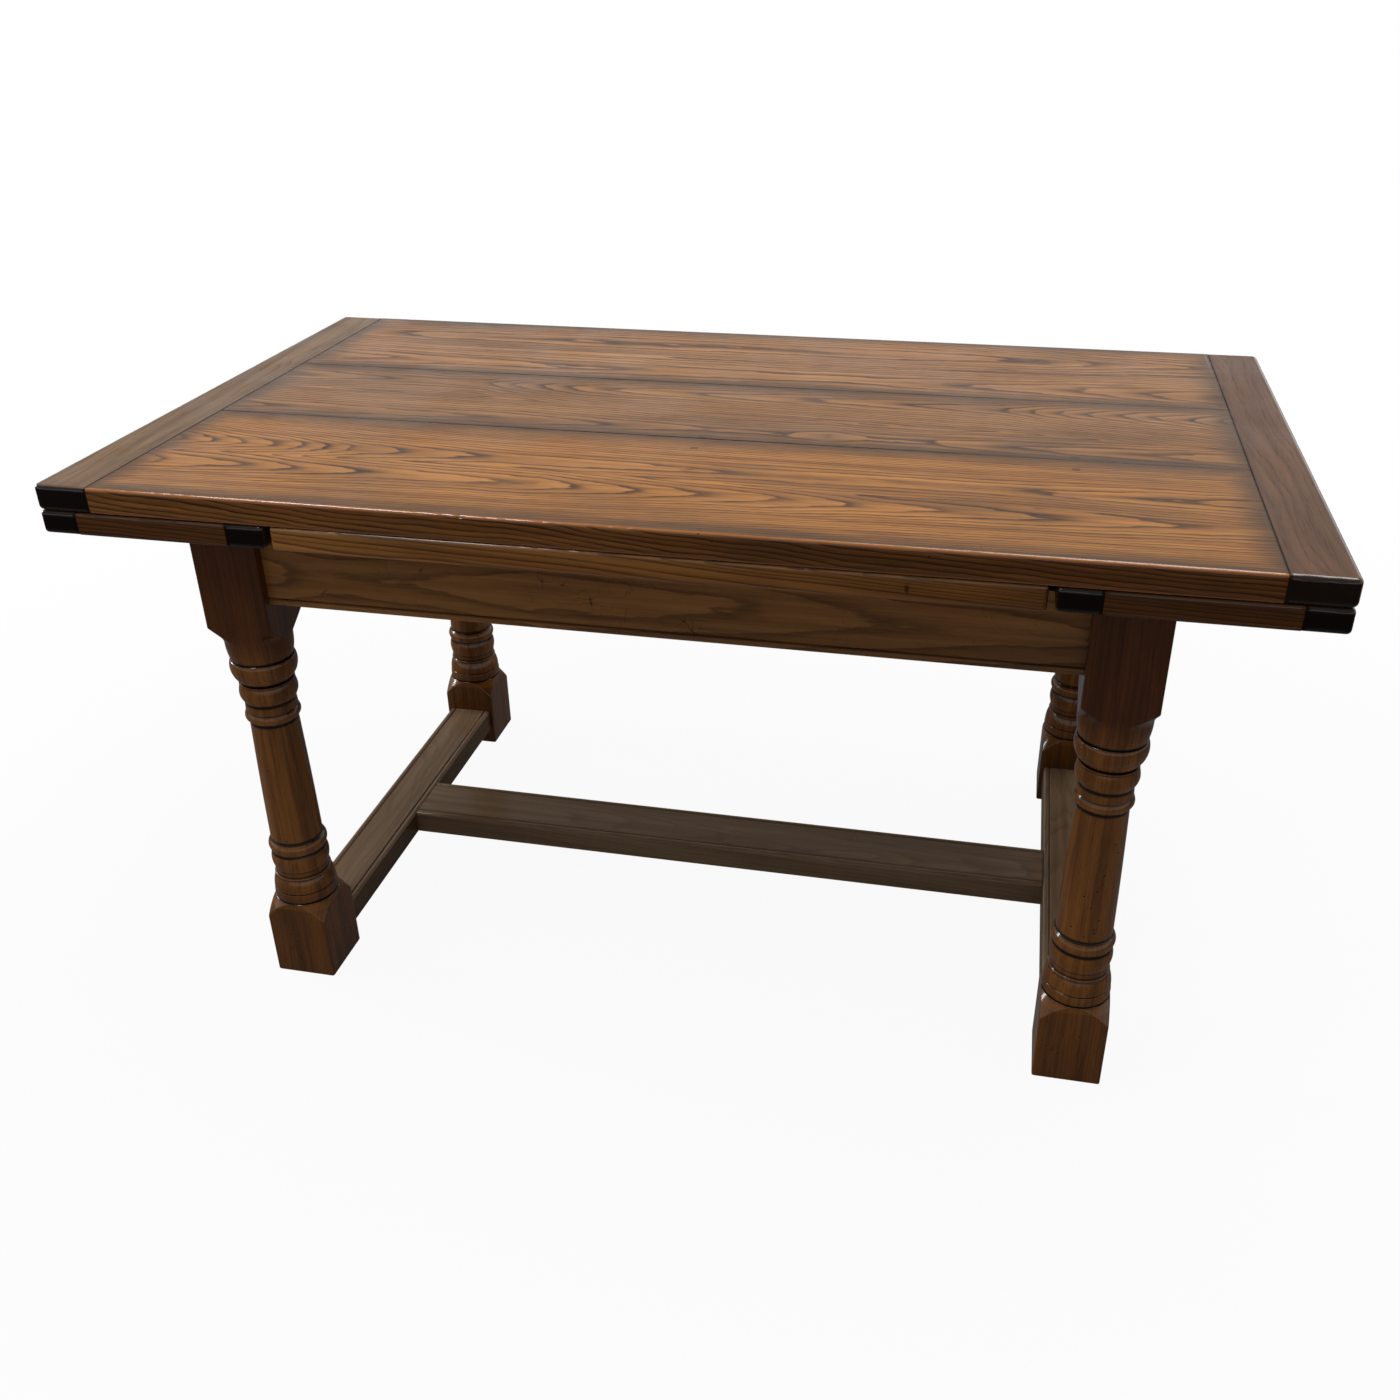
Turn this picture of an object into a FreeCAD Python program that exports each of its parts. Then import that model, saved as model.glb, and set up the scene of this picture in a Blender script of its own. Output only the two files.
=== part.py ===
import FreeCAD, Part
import math
import os

V = FreeCAD.Vector

# Draw-leaf refectory table in oak, closed, in millimetres.
# The origin is on the floor under the middle of the table. X runs along the length,
# the long front side faces -Y, and Z is up. "Outward" is a distance from the middle
# along X, so that one outline serves the left leaf (side = -1) and the right (side = 1).

# Whole table
table_height = 760.0
top_length = 1510.0
top_width = 850.0
top_thickness = 33.0

# Boards of the top, the leaves and the centre board
front_plank_width = 313.0
middle_plank_width = 244.0
top_cleat_width = 72.0
leaf_cleat_width = 49.0
top_arris_chamfer = 3.0
top_corner_radius = 10.0
leaf_arris_chamfer = 2.5
seam_groove_width = 2.4
seam_groove_depth = 1.6
tongue_thickness = 10.0
tongue_length = 14.0
tongue_inset = 15.0

# Layer of the leaves, between the frame and the top
centre_board_thickness = 30.0
centre_board_length = 899.0
centre_gap = 8.0
leaf_end_inset = 1.0
leaf_clearance = 0.5
draw_clearance = 0.5

# Legs
leg_square = 88.0
leg_end_inset = 166.5
leg_side_inset = 43.0
leg_corner_chamfer = 3.0
leg_foot_chamfer = 2.0

# Turning of the legs, from the top block down to the foot block. The rounds of a bead are
# the short slopes above and below its level middle. The torus is the big bead under the
# neck, and its tail the long slope at its foot.
top_block_height = 133.0
shoulder_radius = 43.8
shoulder_height = 23.0
neck_radius = 40.8
neck_height = 37.0
torus_radius = 42.3
torus_height = 35.0
torus_foot_radius = 34.4
torus_tail_height = 11.0
bead_radius = 37.2
bead_height = 26.0
band_radius = 33.4
band_height = 14.0
ring_radius = 35.6
ring_height = 16.0
column_top_radius = 32.0
column_foot_radius = 35.9
column_bow = 0.5
lower_ring_radius = 40.5
lower_ring_height = 19.0
ring_valley_radius = 37.2
second_ring_radius = 39.9
second_ring_height = 21.0
ankle_radius = 37.7
ankle_height = 12.0
bead_round = 4.0
flare_height = 62.0
flare_step_radius = 43.4
flare_step_height = 31.5
foot_block_height = 94.5
turning_overrun = 12.0

# Aprons and end rails
rail_depth = 102.0
rail_thickness = 25.0
rail_setback = 14.0
rail_bead_width = 9.0
rail_quirk_width = 2.4
rail_quirk_depth = 2.2
rail_tenon_length = 30.0
rail_tenon_thickness = 12.0
rail_tenon_shoulder = 12.0

# Cross rails, which hold the tails of the bearers down
cross_rail_outward = 300.0
cross_rail_thickness = 22.0
cross_rail_depth = 92.0
cross_rail_housing = 8.0

# Stretchers
stretcher_top_height = 67.0
stretcher_width = 76.0
stretcher_thickness = 37.0
stretcher_bead_radius = 5.0
stretcher_quirk_inset = 10.0
stretcher_quirk_width = 2.6
stretcher_quirk_depth = 2.0
stretcher_edge_radius = 2.0
stretcher_tenon_length = 30.0
stretcher_tenon_width = 40.0
stretcher_tenon_thickness = 18.0
centre_tenon_length = 24.0
stretcher_corner_radius = 10.0

# Sloping bearers under the leaves
bearer_thickness = 22.0
bearer_depth = 38.0
bearer_step = 6.0
bearer_end_inset = 24.0
bearer_nose_share = 0.45
bearer_leg_gap = 23.0
bearer_pair_gap = 26.0
bearer_clearance = 0.6
stop_thickness = 16.0
stop_length = 24.5
stop_clearance = 0.5
stop_depth_share = 0.8

# Pegs that guide the loose top through the centre board
peg_width = 28.0
peg_hole_clearance = 0.3
peg_spacing = 360.0
peg_offset = 10.0
peg_tenon = 14.0
peg_slack = 1.5
peg_block_width = 60.0
peg_block_thickness = 14.0

# Wood screws, six-sided in section for the sake of a light model
screw_sides = 6
screw_radius = 2.5
screw_head_radius = 5.0
screw_head_height = 3.6
screw_bite = 18.0
screw_hold = 22.0
screw_bore_clearance = 0.15
head_bore_clearance = 0.5
leaf_screw_pitch = 95.0
leaf_screw_inset = 36.0
screw_bearer_gap = 36.0

# One length by which every cut runs past the faces that it opens, and how near two levels
# or two directions have to be to count as one
overrun = 5.0
level_tolerance = 0.01

# Levels and places that follow from the sizes above
top_underside = table_height - top_thickness
frame_top = top_underside - centre_board_thickness
leaf_underside = frame_top + leaf_clearance
leaf_topside = top_underside - leaf_clearance
leaf_inner_end = centre_board_length / 2 + centre_gap
leaf_outer_end = top_length / 2 - leaf_end_inset
front_seam = front_plank_width - top_width / 2
back_seam = front_seam + middle_plank_width
leg_outward = top_length / 2 - leg_end_inset - leg_square / 2
leg_offset = top_width / 2 - leg_side_inset - leg_square / 2
leg_half = leg_square / 2
apron_offset = leg_offset + leg_half - rail_setback - rail_thickness / 2
end_rail_outward = leg_outward + leg_half - rail_setback - rail_thickness / 2

# The left leaf's bearers run beside the legs, and the right leaf's between them.
left_bearer_offset = leg_offset - leg_half - bearer_leg_gap - bearer_thickness / 2
right_bearer_offset = left_bearer_offset - bearer_thickness - bearer_pair_gap
centre_screw_offset = right_bearer_offset - bearer_thickness / 2 - screw_bearer_gap

# The leaf slides up and out until it lies level with the top and just clear of its end.
draw_travel = top_length / 2 + draw_clearance - leaf_inner_end
leaf_rise = table_height - leaf_topside
draw_slope = leaf_rise / draw_travel

# A stop meets the cross rail at the end of the travel, and the bearer ends with its stop.
stop_face = cross_rail_outward - cross_rail_thickness / 2 - stop_clearance - draw_travel
bearer_tail = stop_face - stop_length


def box(x0, x1, y0, y1, z0, z1):
    """Rectangular solid between two corners."""
    return Part.makeBox(x1 - x0, y1 - y0, z1 - z0, V(x0, y0, z0))


def box_about(x, y, size_x, size_y, z0, z1):
    """Rectangular solid centred on a vertical axis."""
    return box(x - size_x / 2, x + size_x / 2, y - size_y / 2, y + size_y / 2, z0, z1)


def edges_along(shape, axis):
    """Straight edges of a solid that run along one axis."""
    found = []
    for edge in shape.Edges:
        direction = edge.Vertexes[-1].Point - edge.Vertexes[0].Point
        if direction.Length > 0 and direction.normalize().cross(axis).Length < level_tolerance:
            found.append(edge)
    return found


def prism(points, thickness, y0):
    """Outline given as (x, z) corners, extruded along Y from y0."""
    corners = [V(x, y0, z) for x, z in points]
    face = Part.Face(Part.makePolygon(corners + corners[:1]))
    return face.extrude(V(0, thickness, 0))


def seam_along_x(x0, x1, y, z_top):
    """V-shaped cutter along a joint between two planks."""
    half = seam_groove_width / 2
    corners = [V(x0, y - half, z_top), V(x0, y + half, z_top), V(x0, y, z_top - seam_groove_depth)]
    face = Part.Face(Part.makePolygon(corners + corners[:1]))
    return face.extrude(V(x1 - x0, 0, 0))


def seam_along_y(x, z_top):
    """V-shaped cutter along a joint between planks and a cleat."""
    half = seam_groove_width / 2
    points = [(x - half, z_top), (x + half, z_top), (x, z_top - seam_groove_depth)]
    return prism(points, top_width + 2 * overrun, -top_width / 2 - overrun)


def rim_at(shape, z):
    """Edges of a slab that lie all round one of its faces."""
    return [edge for edge in shape.Edges if all(abs(v.Z - z) < level_tolerance for v in edge.Vertexes)]


def top_slab(half):
    """The top in one piece, with rounded corners and chamfered arrises."""
    slab = box(-half, half, -top_width / 2, top_width / 2, top_underside, table_height)
    slab = slab.makeFillet(top_corner_radius, edges_along(slab, V(0, 0, 1)))
    return slab.makeChamfer(top_arris_chamfer, rim_at(slab, table_height) + rim_at(slab, top_underside))


def inner_slab(x0, x1, z0, z1):
    """A leaf or the centre board in one piece, chamfered on every edge."""
    slab = box(x0, x1, -top_width / 2, top_width / 2, z0, z1)
    return slab.makeChamfer(leaf_arris_chamfer, slab.Edges)


def plank_spans():
    """Front and back limits of the three planks, by name."""
    half = top_width / 2
    return {
        "front": (-half, front_seam),
        "middle": (front_seam, back_seam),
        "back": (back_seam, half),
    }


def tongue(x0, x1, y_limits, z0, z1):
    """Tongue on a plank's end, centred in its thickness."""
    middle = (z0 + z1) / 2
    y0, y1 = y_limits
    return box(x0, x1, y0, y1, middle - tongue_thickness / 2, middle + tongue_thickness / 2)


def make_board_set(slab, left_cleat, right_cleat):
    """Three planks, and a cleat across their ends on each side that has one.

    Returns the planks by name, and the cleats as "left" and "right"."""
    extent = slab.BoundBox
    x0, x1 = extent.XMin, extent.XMax
    z0, z1 = extent.ZMin, extent.ZMax
    plank_x0 = x0 + left_cleat
    plank_x1 = x1 - right_cleat
    grooves = []
    for y in (front_seam, back_seam):
        grooves.append(seam_along_x(plank_x0, plank_x1, y, z1))
    cleats = {}
    tongues = []
    tongue_limits = (-top_width / 2 + tongue_inset, top_width / 2 - tongue_inset)
    if left_cleat > 0:
        grooves.append(seam_along_y(plank_x0, z1))
        tongues.append((plank_x0 - tongue_length, plank_x0))
        cleats["left"] = (x0, plank_x0)
    if right_cleat > 0:
        grooves.append(seam_along_y(plank_x1, z1))
        tongues.append((plank_x1, plank_x1 + tongue_length))
        cleats["right"] = (plank_x1, x1)
    slab = slab.cut(Part.makeCompound(grooves))
    pieces = {}
    for name, (y0, y1) in plank_spans().items():
        plank = slab.common(box(plank_x0, plank_x1, y0, y1, z0, z1))
        limits = (max(y0, tongue_limits[0]), min(y1, tongue_limits[1]))
        for tongue_x0, tongue_x1 in tongues:
            plank = plank.fuse(tongue(tongue_x0, tongue_x1, limits, z0, z1))
        pieces[name] = plank.removeSplitter()
    for name, (cleat_x0, cleat_x1) in cleats.items():
        cleat = slab.common(box(cleat_x0, cleat_x1, -top_width / 2, top_width / 2, z0, z1))
        for tongue_x0, tongue_x1 in tongues:
            cleat = cleat.cut(tongue(tongue_x0, tongue_x1, tongue_limits, z0, z1))
        pieces[name] = cleat
    return pieces


def screw_rod(x, y, z0, z1, radius):
    """Length of a screw, or of its bore, with an even section."""
    corners = []
    for side in range(screw_sides + 1):
        angle = 2 * math.pi * side / screw_sides
        corners.append(V(x + radius * math.cos(angle), y + radius * math.sin(angle), z0))
    return Part.Face(Part.makePolygon(corners)).extrude(V(0, 0, z1 - z0))


def screw_at(x, y, z_joint, hold):
    """Wood screw driven up across a joint at height z_joint; its head is below."""
    z_head = z_joint - hold
    z_neck = z_head + screw_head_height
    head = screw_rod(x, y, z_head, z_neck, screw_head_radius)
    return head.fuse(screw_rod(x, y, z_neck, z_joint + screw_bite, screw_radius))


def screw_bore(x, y, z_joint, hold, z_bottom):
    """Hole for a screw, with a wider bore for its head that runs down past z_bottom."""
    z_neck = z_joint - hold + screw_head_height
    shank = screw_rod(x, y, z_neck, z_joint + screw_bite, screw_radius + screw_bore_clearance)
    return shank.fuse(screw_rod(x, y, z_bottom - overrun, z_neck, screw_head_radius + head_bore_clearance))


def peg_places():
    """The two pegs' places under the top."""
    return [(side * peg_spacing / 2, peg_offset) for side in (-1, 1)]


def peg_foot_height():
    """Lower end of the pegs, which lets the top rise with the leaves."""
    return top_underside - centre_board_thickness - leaf_rise - peg_slack


def make_top():
    """Loose top: three planks between two cleats, with its guide pegs."""
    half = top_length / 2
    pieces = make_board_set(top_slab(half), top_cleat_width, top_cleat_width)
    foot = peg_foot_height()
    block_foot = foot - peg_block_thickness
    pegs = []
    blocks = []
    screws = []
    middle = pieces["middle"]
    for x, y in peg_places():
        peg = box_about(x, y, peg_width, peg_width, foot, top_underside + peg_tenon)
        middle = middle.cut(peg)
        block = box_about(x, y, peg_block_width, peg_block_width, block_foot, foot)
        hold = peg_block_thickness / 2
        bore = screw_bore(x, y, foot, hold, block_foot)
        pegs.append(peg.cut(bore))
        blocks.append(block.cut(bore))
        screws.append(screw_at(x, y, foot, hold))
    return {
        "top_board_front": pieces["front"],
        "top_board_middle": middle,
        "top_board_back": pieces["back"],
        "top_cleat_left": pieces["left"],
        "top_cleat_right": pieces["right"],
        "top_guide_pegs": Part.makeCompound(pegs),
        "top_guide_blocks": Part.makeCompound(blocks),
        "top_guide_screws": Part.makeCompound(screws),
    }


def centre_screw_places():
    """Screws up through the cross rails, one into each plank of the centre board."""
    places = []
    for side in (-1, 1):
        for y in (-centre_screw_offset, peg_offset, centre_screw_offset):
            places.append((side * cross_rail_outward, y))
    return places


def make_centre_board():
    """Fixed board between the leaves, with holes for the guide pegs."""
    half = centre_board_length / 2
    pieces = make_board_set(inner_slab(-half, half, frame_top, top_underside), 0, 0)
    holes = []
    for x, y in peg_places():
        width = peg_width + 2 * peg_hole_clearance
        holes.append(box_about(x, y, width, width, frame_top - overrun, top_underside + overrun))
    for x, y in centre_screw_places():
        holes.append(screw_bore(x, y, frame_top, screw_hold, frame_top - screw_hold))
    cutter = Part.makeCompound(holes)
    nodes = {}
    for name in plank_spans():
        nodes["centre_board_" + name] = pieces[name].cut(cutter)
    screws = [screw_at(x, y, frame_top, screw_hold) for x, y in centre_screw_places()]
    nodes["centre_board_screws"] = Part.makeCompound(screws)
    return nodes


def bearer_bottom(outward):
    """Height of a bearer's sloping lower edge."""
    at_leaf_end = leaf_underside - bearer_step - bearer_depth
    return at_leaf_end + (outward - leaf_inner_end) * draw_slope


def bearer_outline():
    """Bearer seen from the front, as (outward, z): level under the leaf, sloping tail."""
    nose = leaf_outer_end - bearer_end_inset
    nose_depth = leaf_underside - bearer_bottom(nose)
    return [
        (nose, leaf_underside),
        (leaf_inner_end, leaf_underside),
        (leaf_inner_end, leaf_underside - bearer_step),
        (bearer_tail, bearer_bottom(bearer_tail) + bearer_depth),
        (bearer_tail, bearer_bottom(bearer_tail)),
        (nose - nose_depth, bearer_bottom(nose - nose_depth)),
        (nose, bearer_bottom(nose) + nose_depth * bearer_nose_share),
    ]


def bearer_path_cutter(side, offset, outward0, outward1, open_top):
    """Space that a bearer sweeps through a rail, with its running clearance."""
    low = bearer_bottom(outward0) - bearer_clearance
    high = bearer_bottom(outward1) - bearer_clearance
    depth = bearer_depth + 2 * bearer_clearance
    if open_top:
        top_low = frame_top + overrun
        top_high = frame_top + overrun
    else:
        top_low = low + depth
        top_high = high + depth
    points = [(outward0, low), (outward1, high), (outward1, top_high), (outward0, top_low)]
    points = [(side * outward, z) for outward, z in points]
    width = bearer_thickness + 2 * bearer_clearance
    return prism(points, width, offset - width / 2)


def leaf_screw_places(side, offset):
    """Screws up through both bearers of one leaf."""
    places = []
    for y in (-offset, offset):
        outward = leaf_inner_end + leaf_cleat_width + leaf_screw_inset
        while outward < leaf_outer_end - leaf_cleat_width:
            places.append((side * outward, y))
            outward += leaf_screw_pitch
    return places


def make_stop(side, y0):
    """Block on a bearer's tail that meets the cross rail when the leaf is out."""
    margin = bearer_depth * (1 - stop_depth_share) / 2
    low_face = bearer_bottom(stop_face) + margin
    low_tail = bearer_bottom(bearer_tail) + margin
    depth = bearer_depth * stop_depth_share
    points = [
        (bearer_tail, low_tail),
        (stop_face, low_face),
        (stop_face, low_face + depth),
        (bearer_tail, low_tail + depth),
    ]
    return prism([(side * outward, z) for outward, z in points], stop_thickness, y0)


def make_leaf(side, label, offset, stop_side):
    """One drawing leaf: planks, two cleats, two bearers, their stops and screws."""
    inner = side * leaf_inner_end
    outer = side * leaf_outer_end
    slab = inner_slab(min(inner, outer), max(inner, outer), leaf_underside, leaf_topside)
    pieces = make_board_set(slab, leaf_cleat_width, leaf_cleat_width)
    places = leaf_screw_places(side, offset)
    bores = []
    screws = []
    for x, y in places:
        bores.append(screw_bore(x, y, leaf_underside, screw_hold, bearer_bottom(abs(x)) - overrun))
        screws.append(screw_at(x, y, leaf_underside, screw_hold))
    cutter = Part.makeCompound(bores)
    nodes = {}
    for name in plank_spans():
        nodes[label + "_leaf_board_" + name] = pieces[name].cut(cutter)
    outer_name, inner_name = ("left", "right") if side < 0 else ("right", "left")
    nodes[label + "_leaf_outer_cleat"] = pieces[outer_name]
    nodes[label + "_leaf_inner_cleat"] = pieces[inner_name]
    outline = [(side * outward, z) for outward, z in bearer_outline()]
    stops = []
    for row, place in ((-1, "front"), (1, "back")):
        y = row * offset
        bearer = prism(outline, bearer_thickness, y - bearer_thickness / 2)
        nodes[label + "_leaf_bearer_" + place] = bearer.cut(cutter)
        stop_row = row * stop_side
        face = y + stop_row * bearer_thickness / 2
        stops.append(make_stop(side, min(face, face + stop_row * stop_thickness)))
    nodes[label + "_leaf_stops"] = Part.makeCompound(stops)
    nodes[label + "_leaf_screws"] = Part.makeCompound(screws)
    return nodes


def leg_outline():
    """Outline of the turned leg from the axis at the top to the axis at the foot.

    It stands outside the square blank at both blocks, so that the turning
    cuts the blocks' corners in arches."""
    corner = math.hypot(leg_half, leg_half)
    reach = corner + turning_overrun
    here = V(0, 0, frame_top)
    edges = []

    def go(radius, height, bow=0):
        """Down to a new radius, straight or bowed outward."""
        nonlocal here
        there = V(radius, 0, here.z - height)
        if bow > 0:
            middle = (here + there) / 2 + V(bow, 0, 0)
            edges.append(Part.Arc(here, middle, there).toShape())
        else:
            edges.append(Part.LineSegment(here, there).toShape())
        here = there

    def bead(radius, foot_radius, height):
        """Bead or ring between two hollows."""
        go(radius, bead_round)
        go(radius, height - 2 * bead_round)
        go(foot_radius, bead_round)

    go(reach, 0)
    go(reach, top_block_height - turning_overrun)
    go(corner, turning_overrun)
    go(shoulder_radius, shoulder_height)
    go(neck_radius, neck_height)
    go(torus_radius, bead_round)
    go(torus_radius, torus_height - bead_round - torus_tail_height)
    go(torus_foot_radius, torus_tail_height)
    bead(bead_radius, band_radius, bead_height)
    go(band_radius, band_height)
    bead(ring_radius, column_top_radius, ring_height)
    lower_turning = flare_height + ankle_height + second_ring_height + lower_ring_height
    column_foot = foot_block_height + lower_turning
    go(column_foot_radius, here.z - column_foot, column_bow)
    bead(lower_ring_radius, ring_valley_radius, lower_ring_height)
    bead(second_ring_radius, ankle_radius, second_ring_height)
    go(ankle_radius, ankle_height)
    go(flare_step_radius, flare_step_height)
    go(corner, flare_height - flare_step_height)
    go(reach, turning_overrun)
    go(reach, here.z)
    go(0, 0)
    go(0, -frame_top)
    return Part.Wire(edges)


def turned_leg():
    """One leg on the Z axis: a square blank with its turning."""
    blank = box_about(0, 0, leg_square, leg_square, 0, frame_top)
    blank = blank.makeChamfer(leg_corner_chamfer, edges_along(blank, V(0, 0, 1)))
    blank = blank.makeChamfer(leg_foot_chamfer, rim_at(blank, 0))
    turning = Part.Face(leg_outline()).revolve(V(0, 0, 0), V(0, 0, 1))
    return blank.common(turning)


def rail_tenon_levels():
    """Lower and upper faces of a rail's tenon."""
    return frame_top - rail_depth + rail_tenon_shoulder, frame_top - rail_tenon_shoulder


def stretcher_tenon_levels():
    """Lower and upper faces of a stretcher's tenon."""
    middle = stretcher_top_height - stretcher_thickness / 2
    return middle - stretcher_tenon_thickness / 2, middle + stretcher_tenon_thickness / 2


def apron_tenon(side, row):
    """Tenon of an apron in the leg at (side, row)."""
    z0, z1 = rail_tenon_levels()
    shoulder = leg_outward - leg_half
    ends = sorted((side * shoulder, side * (shoulder + rail_tenon_length)))
    y = row * apron_offset
    return box(ends[0], ends[1], y - rail_tenon_thickness / 2, y + rail_tenon_thickness / 2, z0, z1)


def end_rail_tenon(side, row):
    """Tenon of an end rail in the leg at (side, row)."""
    z0, z1 = rail_tenon_levels()
    shoulder = leg_offset - leg_half
    ends = sorted((row * shoulder, row * (shoulder + rail_tenon_length)))
    x = side * end_rail_outward
    return box(x - rail_tenon_thickness / 2, x + rail_tenon_thickness / 2, ends[0], ends[1], z0, z1)


def end_stretcher_tenon(side, row):
    """Tenon of an end stretcher in the foot block at (side, row)."""
    z0, z1 = stretcher_tenon_levels()
    shoulder = leg_offset - leg_half
    ends = sorted((row * shoulder, row * (shoulder + stretcher_tenon_length)))
    x = side * leg_outward
    half = stretcher_tenon_width / 2
    return box(x - half, x + half, ends[0], ends[1], z0, z1)


def centre_stretcher_tenon(side):
    """Tenon of the centre stretcher in an end stretcher."""
    z0, z1 = stretcher_tenon_levels()
    shoulder = leg_outward - stretcher_width / 2
    ends = sorted((side * shoulder, side * (shoulder + centre_tenon_length)))
    half = stretcher_tenon_width / 2
    return box(ends[0], ends[1], -half, half, z0, z1)


def make_legs():
    """Four turned legs with the mortises of their rails and stretchers."""
    nodes = {}
    pattern = turned_leg()
    for side, side_name in ((-1, "left"), (1, "right")):
        for row, row_name in ((-1, "front"), (1, "back")):
            leg = pattern.copy()
            leg.translate(V(side * leg_outward, row * leg_offset, 0))
            mortises = [apron_tenon(side, row), end_rail_tenon(side, row), end_stretcher_tenon(side, row)]
            nodes["leg_" + row_name + "_" + side_name] = leg.cut(Part.makeCompound(mortises))
    return nodes


def beaded_rail_section(depth_sign):
    """Section of an apron or end rail, as (across, z), with its lower outer edge beaded.

    depth_sign is the way that the moulded face looks."""
    face = depth_sign * rail_thickness / 2
    low = frame_top - rail_depth
    inward = -depth_sign
    quirk = rail_bead_width + rail_quirk_width / 2
    bead = rail_bead_width / 2
    points = [
        (-face, low),
        (-face, frame_top),
        (face, frame_top),
        (face, low + rail_bead_width + rail_quirk_width),
        (face + inward * rail_quirk_depth, low + quirk),
    ]
    arc_points = [
        (face + inward * rail_quirk_depth / 2, low + rail_bead_width),
        (face, low + bead),
        (face + inward * bead, low),
    ]
    return points, arc_points


def section_face(points, arc_points, place):
    """Face bounded by straight edges through points and one closing arc."""
    corners = [place(a, z) for a, z in points + arc_points[:1]]
    edges = []
    for start, end in zip(corners, corners[1:]):
        edges.append(Part.LineSegment(start, end).toShape())
    bulge = [place(a, z) for a, z in arc_points]
    edges.append(Part.Arc(bulge[0], bulge[1], bulge[2]).toShape())
    edges.append(Part.LineSegment(bulge[2], corners[0]).toShape())
    return Part.Face(Part.Wire(edges))


def cross_rail_solid(side):
    """Cross rail before its slots, housed in both aprons."""
    length = 2 * (apron_offset - rail_thickness / 2 + cross_rail_housing)
    low = frame_top - cross_rail_depth
    return box_about(side * cross_rail_outward, 0, cross_rail_thickness, length, low, frame_top)


def make_aprons():
    """Long rails at the front and back, tenoned in the legs and housed for the cross rails."""
    nodes = {}
    length = 2 * (leg_outward - leg_half)
    housings = Part.makeCompound([cross_rail_solid(-1), cross_rail_solid(1)])
    for row, name in ((-1, "front"), (1, "back")):
        points, arc_points = beaded_rail_section(row)
        y = row * apron_offset
        face = section_face(points, arc_points, lambda a, z: V(-length / 2, y + a, z))
        apron = face.extrude(V(length, 0, 0))
        apron = apron.fuse([apron_tenon(-1, row), apron_tenon(1, row)]).removeSplitter()
        nodes["apron_" + name] = apron.cut(housings)
    return nodes


def make_end_rails():
    """Short rails at the ends, notched for the bearers that slide over them."""
    nodes = {}
    length = 2 * (leg_offset - leg_half)
    near = end_rail_outward - rail_thickness / 2 - overrun
    far = end_rail_outward + rail_thickness / 2 + overrun
    for side, name, offset in ((-1, "left", left_bearer_offset), (1, "right", right_bearer_offset)):
        points, arc_points = beaded_rail_section(side)
        x = side * end_rail_outward
        face = section_face(points, arc_points, lambda a, z: V(x + a, -length / 2, z))
        rail = face.extrude(V(0, length, 0))
        rail = rail.fuse([end_rail_tenon(side, -1), end_rail_tenon(side, 1)]).removeSplitter()
        notches = [bearer_path_cutter(side, row * offset, near, far, True) for row in (-1, 1)]
        nodes["end_rail_" + name] = rail.cut(Part.makeCompound(notches))
    return nodes


def make_cross_rails():
    """Cross rails under the centre board, slotted for the tails of the bearers."""
    nodes = {}
    near = cross_rail_outward - cross_rail_thickness / 2 - overrun
    far = cross_rail_outward + cross_rail_thickness / 2 + overrun
    low = frame_top - cross_rail_depth
    for side, name, offset in ((-1, "left", left_bearer_offset), (1, "right", right_bearer_offset)):
        cutters = [bearer_path_cutter(side, row * offset, near, far, False) for row in (-1, 1)]
        for x, y in centre_screw_places():
            if x * side > 0:
                cutters.append(screw_bore(x, y, frame_top, screw_hold, low))
        nodes["cross_rail_" + name] = cross_rail_solid(side).cut(Part.makeCompound(cutters))
    return nodes


def quirk_cutter(along_x, place, start, end):
    """V groove beside a stretcher's bead, on its upper face."""
    half = stretcher_quirk_width / 2
    z = stretcher_top_height
    points = [(place - half, z), (place + half, z), (place, z - stretcher_quirk_depth)]
    if along_x:
        corners = [V(start, across, level) for across, level in points]
        way = V(end - start, 0, 0)
    else:
        corners = [V(across, start, level) for across, level in points]
        way = V(0, end - start, 0)
    return Part.Face(Part.makePolygon(corners + corners[:1])).extrude(way)


def edge_cutter(along_x, face, inward, start, end, radius):
    """Waste outside a rounded upper edge: a square bar less a rod."""
    low = stretcher_top_height - radius
    high = stretcher_top_height + radius
    axis = face + inward * radius
    outside, inside = sorted((face - inward * radius, axis))
    if along_x:
        bar = box(start, end, outside, inside, low, high)
        rod = Part.makeCylinder(radius, end - start, V(start, axis, low), V(1, 0, 0))
    else:
        bar = box(outside, inside, start, end, low, high)
        rod = Part.makeCylinder(radius, end - start, V(axis, start, low), V(0, 1, 0))
    return bar.cut(rod)


def make_end_stretchers():
    """Stretchers between the front and back feet, beaded on their inner edge."""
    nodes = {}
    reach = leg_offset - leg_half
    low = stretcher_top_height - stretcher_thickness
    joint = stretcher_width / 2
    for side, name in ((-1, "left"), (1, "right")):
        x = side * leg_outward
        bar = box_about(x, 0, stretcher_width, 2 * reach, low, stretcher_top_height)
        inner = x - side * stretcher_width / 2
        outer = x + side * stretcher_width / 2
        cutters = [edge_cutter(False, outer, -side, -reach, reach, stretcher_edge_radius)]
        for start, end in ((-reach, -joint), (joint, reach)):
            cutters.append(edge_cutter(False, inner, side, start, end, stretcher_bead_radius))
            cutters.append(quirk_cutter(False, inner + side * stretcher_quirk_inset, start, end))
        bar = bar.cut(Part.makeCompound(cutters))
        bar = bar.fuse([end_stretcher_tenon(side, -1), end_stretcher_tenon(side, 1)]).removeSplitter()
        nodes["end_stretcher_" + name] = bar.cut(centre_stretcher_tenon(side))
    return nodes


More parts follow.
